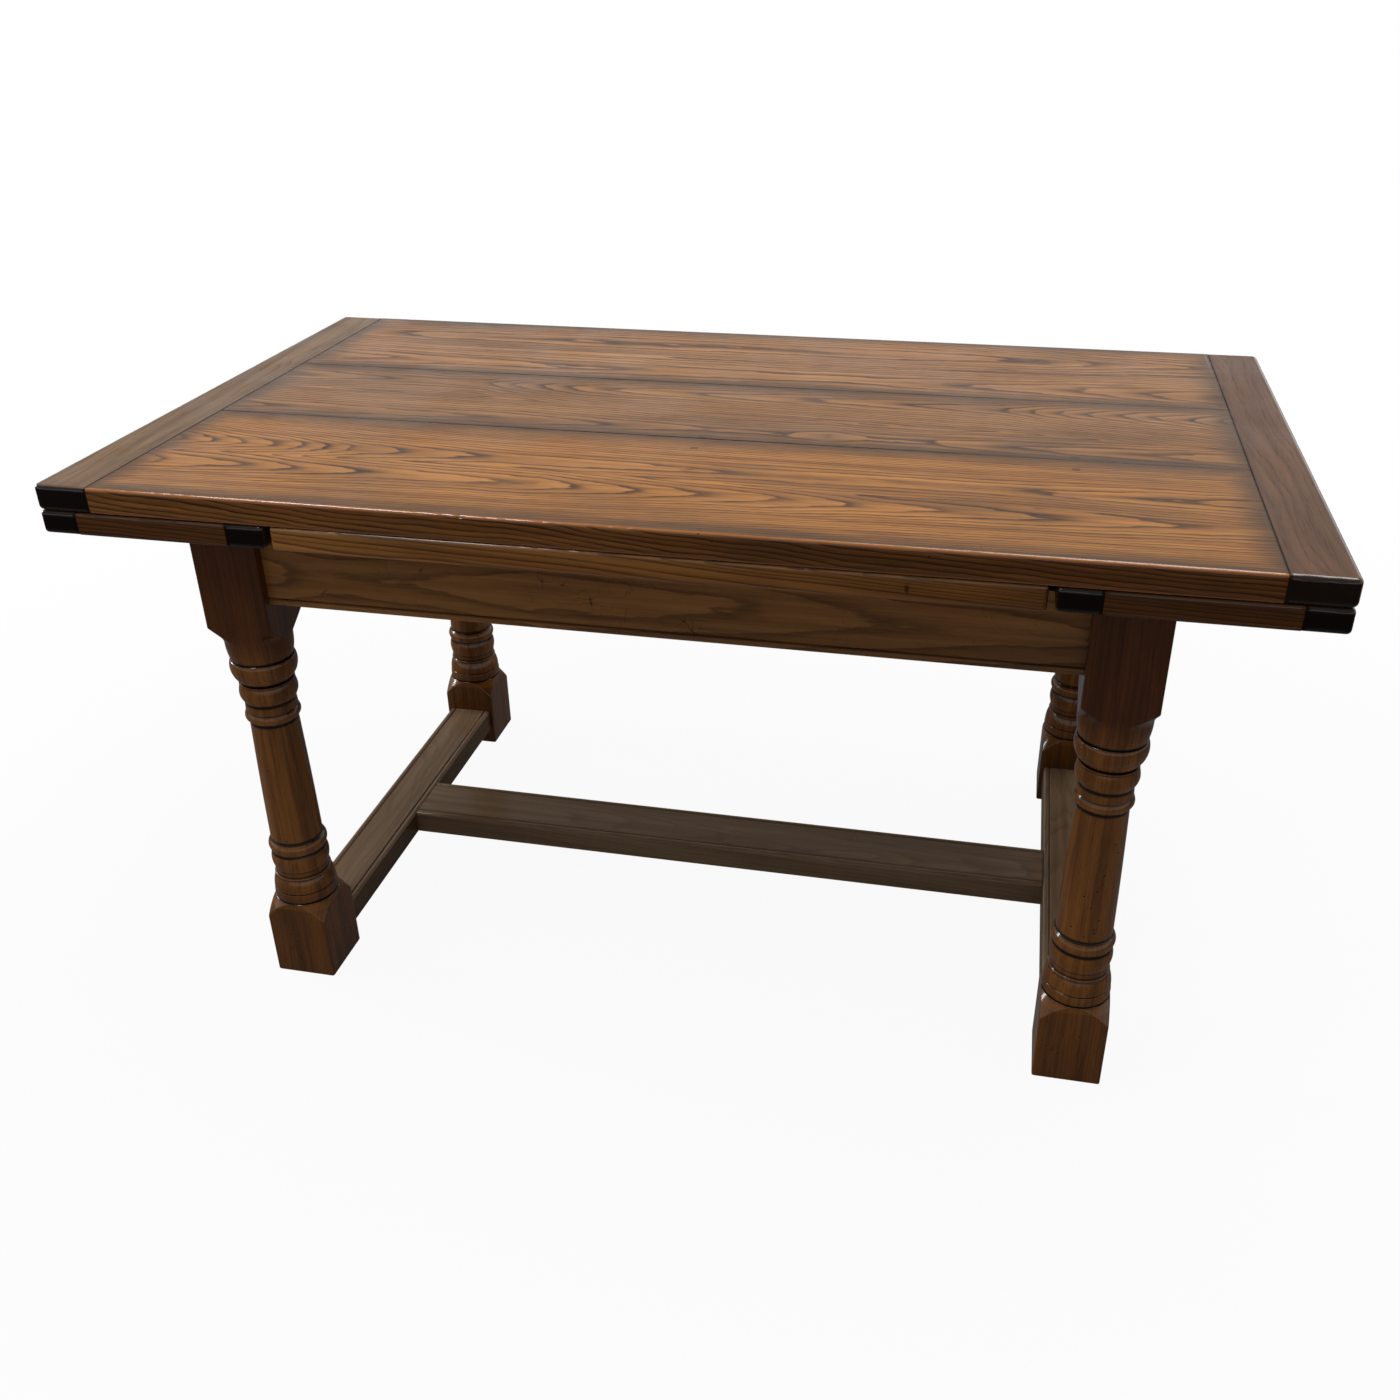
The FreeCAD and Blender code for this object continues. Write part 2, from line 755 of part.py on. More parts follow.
def corner_web(side, row):
    """Small hollow corner where the centre stretcher meets an end stretcher."""
    radius = stretcher_corner_radius
    x = side * (leg_outward - stretcher_width / 2)
    y = row * stretcher_width / 2
    x0, x1 = sorted((x, x - side * radius))
    y0, y1 = sorted((y, y + row * radius))
    z0 = stretcher_top_height - stretcher_thickness
    z1 = stretcher_top_height - stretcher_bead_radius
    hollow_foot = V(x - side * radius, y + row * radius, z0 - overrun)
    rod = Part.makeCylinder(radius, z1 - z0 + 2 * overrun, hollow_foot)
    return box(x0, x1, y0, y1, z0, z1).cut(rod)


def make_centre_stretcher():
    """Long stretcher between the end stretchers, beaded on both edges."""
    reach = leg_outward - stretcher_width / 2
    low = stretcher_top_height - stretcher_thickness
    half = stretcher_width / 2
    bar = box(-reach, reach, -half, half, low, stretcher_top_height)
    cutters = []
    for row in (-1, 1):
        cutters.append(edge_cutter(True, row * half, -row, -reach, reach, stretcher_bead_radius))
        cutters.append(quirk_cutter(True, row * (half - stretcher_quirk_inset), -reach, reach))
    bar = bar.cut(Part.makeCompound(cutters))
    added = [centre_stretcher_tenon(-1), centre_stretcher_tenon(1)]
    for side in (-1, 1):
        for row in (-1, 1):
            added.append(corner_web(side, row))
    return {"centre_stretcher": bar.fuse(added).removeSplitter()}


def export(nodes):
    """Write each named piece to its own STEP file."""
    os.makedirs("parts", exist_ok=True)
    for name, shape in nodes.items():
        if not shape.isValid():
            print("not valid:", name)
        shape.exportStep("parts/" + name + ".step")
    print(len(nodes), "pieces written")


all_nodes = {}
all_nodes.update(make_top())
all_nodes.update(make_centre_board())
all_nodes.update(make_leaf(-1, "left", left_bearer_offset, 1))
all_nodes.update(make_leaf(1, "right", right_bearer_offset, -1))
all_nodes.update(make_aprons())
all_nodes.update(make_end_rails())
all_nodes.update(make_cross_rails())
all_nodes.update(make_legs())
all_nodes.update(make_end_stretchers())
all_nodes.update(make_centre_stretcher())
export(all_nodes)
print("travel along the slope", round(math.hypot(draw_travel, leaf_rise), 3))
print("slope in degrees", round(math.degrees(math.atan(draw_slope)), 4))
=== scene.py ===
import math
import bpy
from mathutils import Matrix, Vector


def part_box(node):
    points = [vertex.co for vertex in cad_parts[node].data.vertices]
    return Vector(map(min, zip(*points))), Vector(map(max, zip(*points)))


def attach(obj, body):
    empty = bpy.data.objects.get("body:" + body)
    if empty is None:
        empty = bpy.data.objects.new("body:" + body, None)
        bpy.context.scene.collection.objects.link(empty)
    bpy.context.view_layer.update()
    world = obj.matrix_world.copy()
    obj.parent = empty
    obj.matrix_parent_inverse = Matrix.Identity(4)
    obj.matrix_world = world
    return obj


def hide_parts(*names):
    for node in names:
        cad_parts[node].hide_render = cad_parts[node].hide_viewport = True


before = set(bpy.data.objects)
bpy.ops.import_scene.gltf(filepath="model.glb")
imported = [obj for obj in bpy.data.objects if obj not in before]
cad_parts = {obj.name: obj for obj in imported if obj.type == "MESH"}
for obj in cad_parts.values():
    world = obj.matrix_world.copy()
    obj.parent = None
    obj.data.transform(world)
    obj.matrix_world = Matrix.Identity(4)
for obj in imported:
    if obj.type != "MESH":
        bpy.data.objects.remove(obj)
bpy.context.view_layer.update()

from types import SimpleNamespace

import bpy
import numpy as np
from mathutils import Euler, Vector

# Draw-leaf refectory table in stained oak: looks only. Lengths are in metres.
MM = 0.001

# Camera of the photograph, worked out from the table's corners
CAMERA_PLACE = (0.3892, -1.7722, 1.3269)
CAMERA_TURN = (61.2715, 0.6061, 12.0458)
CAMERA_LENS = 34.987
CAMERA_SENSOR = 36.0
CAMERA_SHIFT = (-0.01445, -0.00993)

# Rounding of the boards' edges, and of their corners in plan
TOP_ARRIS = 4.2 * MM
LEAF_ARRIS = 3.6 * MM
LEAF_CLEAT_ARRIS = 5.0 * MM
CLEAT_ARRIS = 6.0 * MM
SEAM_ARRIS = 1.7 * MM
JOINT_ARRIS = 0.8 * MM
TOP_CORNER = 8 * MM
LEAF_CORNER = 6 * MM
TIGHT_CORNER = 1.0 * MM
SHARPEST_CORNER = 0.4 * MM
OUTLINE_STEP = 4 * MM
ARRIS_STEPS = 6
CORNER_STEPS = 6

# A side with a larger rounding than this is open to the touch, and polished by it
FREE_ARRIS = 2.5 * MM

# Knocks in the upper arrises: deepest on the top and on the leaves, distance apart, range of
# widths, depth of the shallowest as a share, the part of a board's half width that takes them, and
# how far the arris drops for each millimetre that it is pressed in
TOP_WEAR = 0.5 * MM
LEAF_WEAR = 0.4 * MM
DENT_PITCH = 18 * MM
DENT_WIDTHS = (1.5, 6.0)
SHALLOWEST_DENT = 0.15
DENT_RIM = 0.02
DENT_DROP = 0.8

# Turning of a leg, all in millimetres: radius of each moulding
SHOULDER_FOOT = 43.7
NECK = 40.6
NECK_FILLET = 1.4
TORUS = 43.6
TORUS_FOOT = 33.2
BEAD = 38.2
BAND = 33.4
RING = 36.6
COLUMN_TOP = 32.0
COLUMN_FOOT = 35.8
LOWER_RING = 40.4
VALLEY = 37.2
SECOND_RING = 39.9
ANKLE = 37.6
ANKLE_FILLET = 39.2
FLARE = 43.2
FOOT_BAND = 43.6
QUIRK = 1.3

# Levels of the mouldings above the floor
SHOULDER = 563
SHOULDER_SWEEP = 29
NECK_LEVEL = 507
TORUS_END = 473
BEAD_END = 443
BAND_END = 429
RING_END = 413
COLUMN_END = 222
LOWER_RING_END = 202
SECOND_RING_END = 175
ANKLE_END = 162
FLARE_END = 142
FOOT_BAND_END = 127
FOOT_CORNER = 94.5

# Gap between two mouldings that meet. Shares of the torus's height above its fullest place and in
# its rounded crest, the depth of the crest, and the fine lines cut below, as (level, depth)
GAP = 0.4
TORUS_FULLEST = 0.32
TORUS_CREST = 0.34
TORUS_CREST_DEPTH = 3.8
TORUS_CUTS = ((486.5, 0.6), (480.5, 0.55))
TORUS_CUT_WIDTH = 0.7

# Blank of a leg in millimetres, how far the turning's widest radius clears its corners, and how its
# rows and columns of points are spaced
LEG_CORNER = 2.5
LEG_CLEARANCE = 2
LEG_FOOT_ROUND = 2.5
LEG_BLEND = 1.0
LEG_TURNS = 224
LEG_STEP = 1.4

# The relief of a turning, in millimetres, is taken against its outline smoothed over this reach
RELIEF_REACH = 6.0
RELIEF_STEP = 0.5
RELIEF_SPAN = 30
RELIEF_TOP = 700
RELIEF_DEPTH = 1.2
RELIEF_WIDEST = 46

# Beads and quirks along rails and stretchers
RAIL_BEAD = 9 * MM
RAIL_BEAD_DEPTH = 3.4 * MM
RAIL_QUIRK = 2.4 * MM
STRETCHER_BEAD = 10 * MM
STRETCHER_ROUND = 5 * MM
EDGE_ROUND = 2 * MM
RAIL_PARTS = 60

# Quirk of a stretcher, in millimetres off its middle and down
STRETCHER_QUIRK = ((-2.9, 0.1), (-1.8, 0.6), (-0.3, 2.4), (0.3, 2.4), (1.4, 0.5), (2.0, 0.0))

# Edges that turn by more than this many degrees look sharp
BOARD_SHARP, LEG_SHARP, RAIL_SHARP = 40.0, 55.0, 30.0

# Clusters of woodworm holes that stand out in the photo, as (centre, reach)
LEG_HOLES = [((x, -0.382, z), reach) for x, z, reach in (
    (0.545, 0.36, 0.05), (0.53, 0.28, 0.07), (0.55, 0.235, 0.04), (-0.545, 0.33, 0.04),
    (-0.54, 0.24, 0.03), (-0.55, 0.06, 0.04), (0.53, 0.07, 0.04))]
EDGE_HOLES = [((x, -0.425, 0.757), reach) for x, reach in (
    (0.23, 0.03), (0.36, 0.06), (0.08, 0.02), (-0.5, 0.02))]
WORM_CELL = 0.01

# Square ends of the wooden pins in the top: their centres, and from where to where their edge fades
PEGS = ((0.477, -0.146), (0.477, -0.103), (0.003, -0.151), (0.003, -0.108))
PEG_EDGE = (0.0042, 0.0052)

# Depth of the stain and painted shade along a piece, against the place in millimetres from its middle: on
# the upright faces of the top's planks and of the centre board's, and all round a leg, darkest under the
# top
PLANK_SIDE_STAIN_AND_SHADE = ((-683, 0.55), (0, 0.8), (683, 1.0))
CENTRE_SIDE_STAIN_AND_SHADE = ((-450, 0.25), (0, 0.5), (450, 0.8))
LEG_STAIN_AND_SHADE = ((-350, 0.35), (-230, 0.3), (-190, 0.0), (150, 0.1), (200, 0.85), (350, 0.85))

# What the deeper stain and painted shade do to a colour, on upright faces and along a leg
UPRIGHT_STAIN_AND_SHADE = (0.42, 0.33, 0.2, 1.0)
DEEP_STAIN_AND_SHADE = (0.32, 0.2, 0.1, 1.0)

# Colours in the usual 0 to 255 steps
LINE, SHADE = (46, 26, 13), (66, 46, 31)
CRACK = (14, 8, 6)
WORN_OAK = (190, 116, 52)
GROOVE_STAIN_AND_SHADE = (8, 4, 2)
END_GRAIN = (17, 8, 6)
PEG_END = (38, 24, 14)
HOLE = (12, 6, 4)
STRETCHER_OAK = ((146, 120, 92), (128, 102, 76), (90, 68, 50), (120, 98, 76))
CENTRE_OAK = ((178, 122, 64), (150, 98, 50), (60, 36, 18), SHADE)
INNER_OAK = ((150, 116, 78), (126, 92, 60), (86, 60, 40), (112, 88, 64))

# Axes of a piece in the order along the grain, across it and out from the pith
GRAIN_ORDER = {"X": (0, 1, 2), "Y": (1, 0, 2), "Z": (2, 0, 1)}
CAD_PITH = (0.3, 0.05, 0.09)

# Floor: its reach, its grey where it takes light, and the distances over which it turns white
FLOOR_REACH = 40.0
FLOOR_GREY = (0.55, 0.55, 0.55, 1.0)
FLOOR_NEAR, FLOOR_FAR = 0.6, 2.4
FLOOR_NEAR_WHITE = 0.94
MIRRORED_FLOOR = 0.1

# Even light of the backdrop on the table
AMBIENT = 0.22

# Lamps: name, place, target, size, power and colour
LAMPS = (
    ("window", (-3.3, 0.3, 1.2), (0, 0, 0.5), (0.5, 0.9), 36, (0.9, 0.95, 1.0)),
    ("panel", (-1.4, -0.9, 2.8), (0, 0, 0.5), (1.6, 0.4), 34, (0.95, 0.98, 1.0)),
    ("overhead", (0.9, 0.6, 3.2), (0.2, 0.1, 0.7), (2.2, 1.6), 66, (1, 1, 1)),
)

# Figure of the boards that are cut near the pith: rows of arches, as (place across the board,
# rings crossed at places along it), then the pitch of the lines beside them, the flatness at
# their tips, the rings to a millimetre of depth, and how far the lines wander. In millimetres.
FRONT_PLANK_FIGURE = (
    ((-311, ((-683, 0.2), (-635, 1), (-525, 2), (-455, 3), (-360, 4), (-155, 5), (-95, 6), (-20, 7),
             (70, 8), (160, 9), (230, 10), (345, 11), (475, 12), (615, 13), (700, 13.6))),
     (-231, ((-683, -1.5), (-575, 1), (-525, 2), (-490, 3), (-455, 4), (-425, 5), (-345, 6), (-235, 7),
             (75, 7.9), (100, 8), (380, 8.1), (400, 8), (560, 6.9), (700, 6.3)))),
    5.5, 40, 0.15, 16)
MIDDLE_PLANK_FIGURE = (
    ((79, ((-683, 3.6), (-505, 5), (-430, 5.4), (-360, 5), (-325, 4), (-285, 3), (-245, 2), (-195, 1),
           (-55, 0), (95, -1), (245, -2), (375, -3), (415, -4), (445, -5), (485, -6), (535, -7),
           (575, -8), (625, -9), (683, -10.6))),
     (-76, ((-683, -0.6), (-595, 0), (-255, 1), (-115, 2), (0, 2.7), (110, 2.7), (165, 1.9), (215, 2.7),
            (300, 2.7), (375, 2), (535, 1), (683, 0.2)))),
    7, 30, 0.15, 16)
BACK_PLANK_FIGURE = (
    ((334, ((-683, 2), (-535, 1), (-300, 0.4), (100, 0.6), (300, 1), (440, 1.6), (475, 2), (560, 3),
            (683, 3.6))),
     (187, ((-683, -1.2), (-470, 0), (-355, 0.08), (-330, 0.2), (-155, 0.6), (25, 1), (100, 1.15),
            (195, 1), (425, 0), (525, -1), (625, -2), (683, -2.6)))),
    8, 45, 0.15, 22)
APRON_FIGURE = (
    ((-3, ((-510, 1.6), (-415, 2.4), (-330, 2.1), (-280, 1.98), (-150, 1.3), (0, 1.6), (90, 2),
           (260, 3), (400, 3.5), (510, 4))),),
    16, 22, 0.05, 14)

# What an oak finish says unless it is told otherwise
OAK_LOOK = {
    "along": None,      # axis of the grain of a CAD node, which carries no attributes
    "grain": 2,         # the same axis by number, for every piece
    "figure": None,     # rows of arches, for a board cut near the pith
    "ring_width": 0.0052, "wander": 0.024,      # growth rings of the other boards
    "rings": 0.8, "pores": 0.35,        # strength of the ring lines and of the pores
    "rim": 0.6,         # strength of the shading along the rim of level faces
    "worn": None,       # wear of the long edges: its strength, and their place across
    "side": 0.0,        # depth of the stain and painted shade on upright faces, also as a curve
    "depths": None,     # depth of the stain and painted shade along the piece, as a curve
    "end": 0.9,         # darkness of the end grain
    "holes": 0.72, "marks": 0.72,       # woodworm and scratches, rarer when higher
    "clusters": (), "pegs": (),
    "gloss": 0.3, "level": 0.12,        # roughness and specular level of the wood
    "coat": 0.15, "coat_rough": 0.12,   # wax
    "polish": None,     # weight of the wax on arrises that are open to the touch
}


def srgb(red, green, blue):
    """Linear colour for a colour given in the usual 0 to 255 steps."""
    steps = [value / 255 for value in (red, green, blue)]
    linear = [s / 12.92 if s <= 0.04045 else ((s + 0.055) / 1.055) ** 2.4 for s in steps]
    return (*linear, 1.0)


class Tree:
    """The node tree of a material or a world, with short calls for the nodes that it uses."""

    def __init__(self, owner):
        owner.use_nodes = True
        self.owner, self.nodes, self.links = owner, owner.node_tree.nodes, owner.node_tree.links
        self.nodes.clear()

    def close(self, surface, output="OutputMaterial"):
        """Joins the last node to the output and returns the material or world."""
        self.add(output, {0: surface.outputs[0]})
        return self.owner

    def add(self, kind, inputs=None, **settings):
        node = self.nodes.new("ShaderNode" + kind)
        for name, value in settings.items():
            setattr(node, name, value)
        for key, value in (inputs or {}).items():
            if isinstance(value, bpy.types.NodeSocket):
                self.links.new(value, node.inputs[key])
            else:
                node.inputs[key].default_value = value
        return node

    def math(self, operation, *values):
        return self.add("Math", dict(enumerate(values)), operation=operation).outputs[0]

    def times(self, first, second):
        return self.math("MULTIPLY", first, second)

    def scaled(self, value, factor, added):
        return self.math("MULTIPLY_ADD", value, factor, added)

    def vector(self, operation, *values):
        node = self.add("VectorMath", dict(enumerate(values)), operation=operation)
        return node.outputs[1 if operation in ("LENGTH", "DISTANCE") else 0]

    def attribute(self, name, output="Vector"):
        return self.add("Attribute", attribute_name=name).outputs[output]

    def coordinate(self, name):
        return self.add("TexCoord").outputs[name]

    def split(self, vector):
        return self.add("SeparateXYZ", {0: vector}).outputs

    def noise(self, vector, stretch, detail=2.0, roughness=0.5):
        """Noise with its own scale along each axis of the vector."""
        scaled = self.vector("MULTIPLY", vector, stretch)
        inputs = {"Vector": scaled, "Scale": 1.0, "Detail": detail, "Roughness": roughness}
        return self.add("TexNoise", inputs).outputs[0]

    def line_noise(self, value, scale, detail=2.0):
        """Noise along a single running value."""
        inputs = {"W": value, "Scale": scale, "Detail": detail}
        return self.add("TexNoise", inputs, noise_dimensions="1D").outputs[0]

    def band(self, value, low, high, out_low=0.0, out_high=1.0):
        """A smooth step of the value between two levels."""
        inputs = {"Value": value, 1: low, 2: high, 3: out_low, 4: out_high}
        return self.add("MapRange", inputs, interpolation_type="SMOOTHSTEP").outputs[0]

    def ramp(self, value, *stops):
        node = self.add("ValToRGB", {0: value})
        elements = node.color_ramp.elements
        while len(elements) < len(stops):
            elements.new(0.5)
        for element, (place, level) in zip(elements, stops):
            element.position = place
            element.color = (level, level, level, 1.0)
        return node.outputs[0]

    def curve(self, value, points):
        """Value read from straight runs between the points, which are given as (value, result)."""
        total = None
        for (x0, y0), (x1, y1) in zip(points, points[1:]):
            inputs = {"Value": value, 1: x0, 2: x1, 3: 0.0, 4: y1 - y0}
            run = self.add("MapRange", inputs).outputs[0]
            total = run if total is None else self.math("ADD", total, run)
        return self.math("ADD", total, points[0][1])

    def mix(self, share, first, second, blend="MIX"):
        inputs = {0: share, 6: first, 7: second}
        return self.add("Mix", inputs, data_type="RGBA", blend_type=blend).outputs[2]


def grain_place(tree, along):
    """Place in the log, x along the grain: an attribute of each new piece, or a CAD node's own axes."""
    if along is None:
        return tree.attribute("log")
    place = tree.split(tree.coordinate("Object"))
    turned = tree.add("CombineXYZ", {k: place[axis] for k, axis in enumerate(GRAIN_ORDER[along])})
    return tree.vector("ADD", turned.outputs[0], CAD_PITH)


def along_piece(tree, grain, points):
    """A curve over the place along the piece, in millimetres from its middle."""
    place = tree.split(tree.attribute("place"))[grain]
    return tree.curve(tree.times(place, 1 / MM), points)


def edge_distances(tree):
    """Distances from the piece's own ends, sides and faces."""
    place = tree.vector("ABSOLUTE", tree.attribute("place"))
    return tree.split(tree.vector("SUBTRACT", tree.attribute("half"), place))


def ring_lines(tree, count):
    """Darkness of the ring lines for a running count of rings, and how far through a ring a point is."""
    through = tree.math("FRACT", count)
    stops = ((0.0, 0.3), (0.05, 1.0), (0.15, 0.9), (0.35, 0.36), (0.65, 0.1), (0.97, 0.0), (1.0, 0.3))
    weight = tree.line_noise(tree.math("FLOOR", count), 0.7)
    strength = tree.band(weight, 0.3, 0.7, 0.7, 1.0)
    return tree.times(tree.ramp(through, *stops), strength), through


def growth_rings(tree, log, ring_width, wander):
    """The same for the growth rings round the pith."""
    sway = tree.noise(log, (3.2, 14.0, 14.0), 2.0)
    ripple = tree.noise(log, (14.0, 90.0, 90.0), 2.0)
    x, y, z = tree.split(log)
    away = tree.math("ADD", tree.times(y, y), tree.times(z, z))
    away = tree.scaled(sway, wander, tree.math("SQRT", away))
    away = tree.scaled(ripple, wander / 11, away)
    count = tree.math("DIVIDE", away, ring_width)
    years = tree.line_noise(count, 0.31, 1.0)
    return ring_lines(tree, tree.scaled(years, 2.6, count))


def figured_rings(tree, log, figure):
    """Ring lines of a board cut near the pith. Each row of arches runs along its own axis, and its list
    says how many rings have been crossed at each place along the axis. Lengths are in millimetres."""
    rows, pitch, flat, through_face, sway = figure
    warp = tree.noise(log, (5.0, 17.0, 17.0), 2.0)
    x, y, z = tree.split(tree.vector("MULTIPLY", log, (1 / MM, 1 / MM, 1 / MM)))
    y = tree.scaled(tree.math("SUBTRACT", warp, 0.5), sway, y)
    field = None
    for across, places in rows:
        count = tree.curve(x, places)
        off = tree.math("SUBTRACT", y, across)
        spread = tree.math("SQRT", tree.scaled(off, off, flat * flat))
        row = tree.scaled(spread, 1 / pitch, count)
        field = row if field is None else tree.math("SMOOTH_MIN", field, row, 1.6)
    field = tree.scaled(z, through_face, field)
    ripple = tree.noise(log, (12.0, 70.0, 70.0), 3.0, 0.55)
    ripple = tree.math("SUBTRACT", ripple, 0.5)
    return ring_lines(tree, tree.scaled(ripple, 0.8, field))


def grain_lines(tree, log, look):
    """Strength of the ring lines and of the pores, which are thickest early in each ring."""
    if look.figure:
        ring, through = figured_rings(tree, log, look.figure)
    else:
        ring, through = growth_rings(tree, log, look.ring_width, look.wander)
    fleck = tree.noise(log, (24.0, 620.0, 620.0), 2.0, 0.6)
    early = tree.band(through, 0.0, 0.6, 1.0, 0.45)
    return ring, tree.times(tree.band(fleck, 0.5, 0.66), early)


def stained(tree, log, ring, pore, stains, look):
    """Colour of the stained wood, before age and use have marked it."""
    light, deep, line, shade = stains
    streak = tree.noise(log, (1.6, 75.0, 75.0), 3.0, 0.6)
    patch = tree.noise(log, (3.0, 9.0, 9.0), 2.0, 0.5)
    colour = tree.mix(tree.band(streak, 0.35, 0.68), light, deep)
    colour = tree.mix(tree.band(patch, 0.45, 0.75, 0.0, 0.4), colour, shade)
    colour = tree.mix(tree.times(ring, look.rings), colour, line)
    return tree.mix(tree.times(pore, look.pores), colour, line)


def shaded_rim(tree, colour, log, inward, upward, shade, rim):
    """Darker stain in from the ends and sides of a level face, and a black crack right at them."""
    level_face = tree.band(upward, 0.5, 0.9)
    rag = tree.noise(log, (12.0, 40.0, 40.0), 2.0)
    near = tree.scaled(rag, 0.03, inward)
    shaded = tree.times(tree.band(near, 0.012, 0.06, rim, 0.0), level_face)
    crack = tree.times(tree.band(inward, 0.0008, 0.0022, 0.9, 0.0), level_face)
    return tree.mix(crack, tree.mix(shaded, colour, shade), srgb(*CRACK))


def worn_arris(tree, colour, log, faces, worn):
    """Stain rubbed off along the front and back edges of the top."""
    share, reach = worn
    outer = tree.math("SUBTRACT", reach, tree.math("ABSOLUTE", tree.split(log)[1]))
    arris = tree.band(tree.math("MAXIMUM", outer, faces), 0.0015, 0.0045, share, 0.0)
    return tree.mix(arris, colour, srgb(*WORN_OAK))


def deepened_and_shaded(tree, colour, normal, light, look):
    """Deeper stain with painted shade on upright faces and along the piece, painted highlights on the
    crests of the turning, gathered stain with painted shade in its grooves, and dark end grain."""
    side = look.side
    if isinstance(side, tuple):
        side = along_piece(tree, look.grain, side)
    # Painted shade on top of a deeper stain: upright faces darker than level ones, by the way they face
    upright = tree.band(normal[2], 0.3, 0.8, side, 0.0)
    colour = tree.mix(upright, colour, UPRIGHT_STAIN_AND_SHADE, "MULTIPLY")
    # Painted shade on top of a deeper stain along the piece: on a leg, the block under the top is darkest
    if look.depths:
        depth = tree.add("Clamp", {0: along_piece(tree, look.grain, look.depths)})
        colour = tree.mix(depth.outputs[0], colour, DEEP_STAIN_AND_SHADE, "MULTIPLY")
    relief = tree.attribute("relief", "Fac")
    # Painted highlight: the crests of the turning lighter
    colour = tree.mix(tree.band(relief, 0.2, 0.9, 0.0, 0.4), colour, light)
    # Gathered stain and painted shade: the grooves of the turning near black
    colour = tree.mix(tree.band(relief, -0.1, -0.5, 0.0, 0.95), colour, srgb(*GROOVE_STAIN_AND_SHADE))
    return tree.mix(tree.band(normal[look.grain], 0.35, 0.85, 0.0, look.end), colour, srgb(*END_GRAIN))


def worm_holes(tree, place, share, clusters):
    """Round flight holes of woodworm, gathered in patches and in clusters of a given place and reach."""
    cells = tree.add("TexVoronoi", {"Vector": place, "Scale": 1 / WORM_CELL, "Randomness": 1.0})
    dot = tree.band(cells.outputs["Distance"], 0.09, 0.14, 1.0, 0.0)
    groups = tree.noise(place, (9.0, 9.0, 9.0), 3.0, 0.6)
    for centre, reach in clusters:
        near = tree.band(tree.vector("DISTANCE", place, centre), 0.3 * reach, reach, 0.3, 0.0)
        groups = tree.math("ADD", groups, near)
    return tree.times(dot, tree.band(groups, share, share + 0.03))


def scratches(tree, place, share):
    """Thin dark marks, short and curved, left by use."""
    warp = tree.noise(place, (23.0, 23.0, 23.0), 1.0)
    field = tree.noise(tree.vector("ADD", place, (0.7, 0.3, 0.9)), (60.0, 60.0, 60.0), 0.0)
    line = tree.math("ABSOLUTE", tree.math("SUBTRACT", field, 0.5))
    return tree.times(tree.band(line, 0.0, 0.012, 1.0, 0.0), tree.band(warp, share, share + 0.04))


def marked(tree, colour, place, look):
    """Colour with the ends of pins, woodworm holes and scratches, and how deep the last two go."""
    for x, y in look.pegs:
        off = tree.split(tree.vector("ABSOLUTE", tree.vector("SUBTRACT", place, (x, y, 0.0))))
        square = tree.band(tree.math("MAXIMUM", off[0], off[1]), *PEG_EDGE, 0.55, 0.0)
        colour = tree.mix(square, colour, srgb(*PEG_END))
    hole = worm_holes(tree, place, look.holes, look.clusters)
    mark = scratches(tree, place, look.marks)
    dark = tree.math("MAXIMUM", hole, tree.times(mark, 0.7))
    return tree.mix(dark, colour, srgb(*HOLE)), tree.math("MAXIMUM", hole, mark)


def oak(name, stains, **changes):
    """Stained and waxed oak. The four stains are the wood, its darker streaks, the ring lines and the
    shaded parts. The changes are to OAK_LOOK."""
    look = SimpleNamespace(**{**OAK_LOOK, **changes})
    stains = [srgb(*stain) for stain in stains]
    tree = Tree(bpy.data.materials.new(name))
    log = grain_place(tree, look.along)
    ring, pore = grain_lines(tree, log, look)
    colour = stained(tree, log, ring, pore, stains, look)
    normal = tree.split(tree.vector("ABSOLUTE", tree.coordinate("Normal")))
    if look.along is None:
        ends, sides, faces = edge_distances(tree)
        inward = tree.math("MINIMUM", ends, sides)
        if look.rim > 0:
            colour = shaded_rim(tree, colour, log, inward, normal[2], stains[3], look.rim)
    if look.worn:
        colour = worn_arris(tree, colour, log, faces, look.worn)
    colour = deepened_and_shaded(tree, colour, normal, stains[0], look)
    place = tree.coordinate("Object")
    colour, cut = marked(tree, colour, place, look)

    smear = tree.noise(place, (11.0, 11.0, 11.0), 3.0)
    rough = tree.band(smear, 0.3, 0.7, look.gloss - 0.05, look.gloss + 0.08)
    rough = tree.scaled(pore, 0.15, rough)
    sunk = tree.scaled(ring, 0.25, tree.times(pore, 0.35))
    sunk = tree.scaled(cut, 3.0, sunk)
    ease = tree.noise(place, (16.0, 16.0, 16.0), 1.0)
    height = tree.math("SUBTRACT", tree.times(ease, 1.2), sunk)
    bumped = tree.add("Bump", {"Strength": 0.25, "Distance": 0.0006, "Height": height})
    coat = look.coat
    if look.polish:
        edge = tree.band(tree.math("MAXIMUM", faces, inward), 0.004, 0.007, 1.0, 0.0)
        open_edge = tree.band(tree.attribute("free", "Fac"), 0.5, 0.95)
        coat = tree.scaled(tree.times(edge, open_edge), look.polish - coat, coat)
    return tree.close(tree.add("BsdfPrincipled", {
        "Base Color": colour, "Roughness": rough, "Normal": bumped.outputs[0],
        "Specular IOR Level": look.level, "Coat Weight": coat, "Coat Roughness": look.coat_rough,
        "Coat IOR": 1.5}))


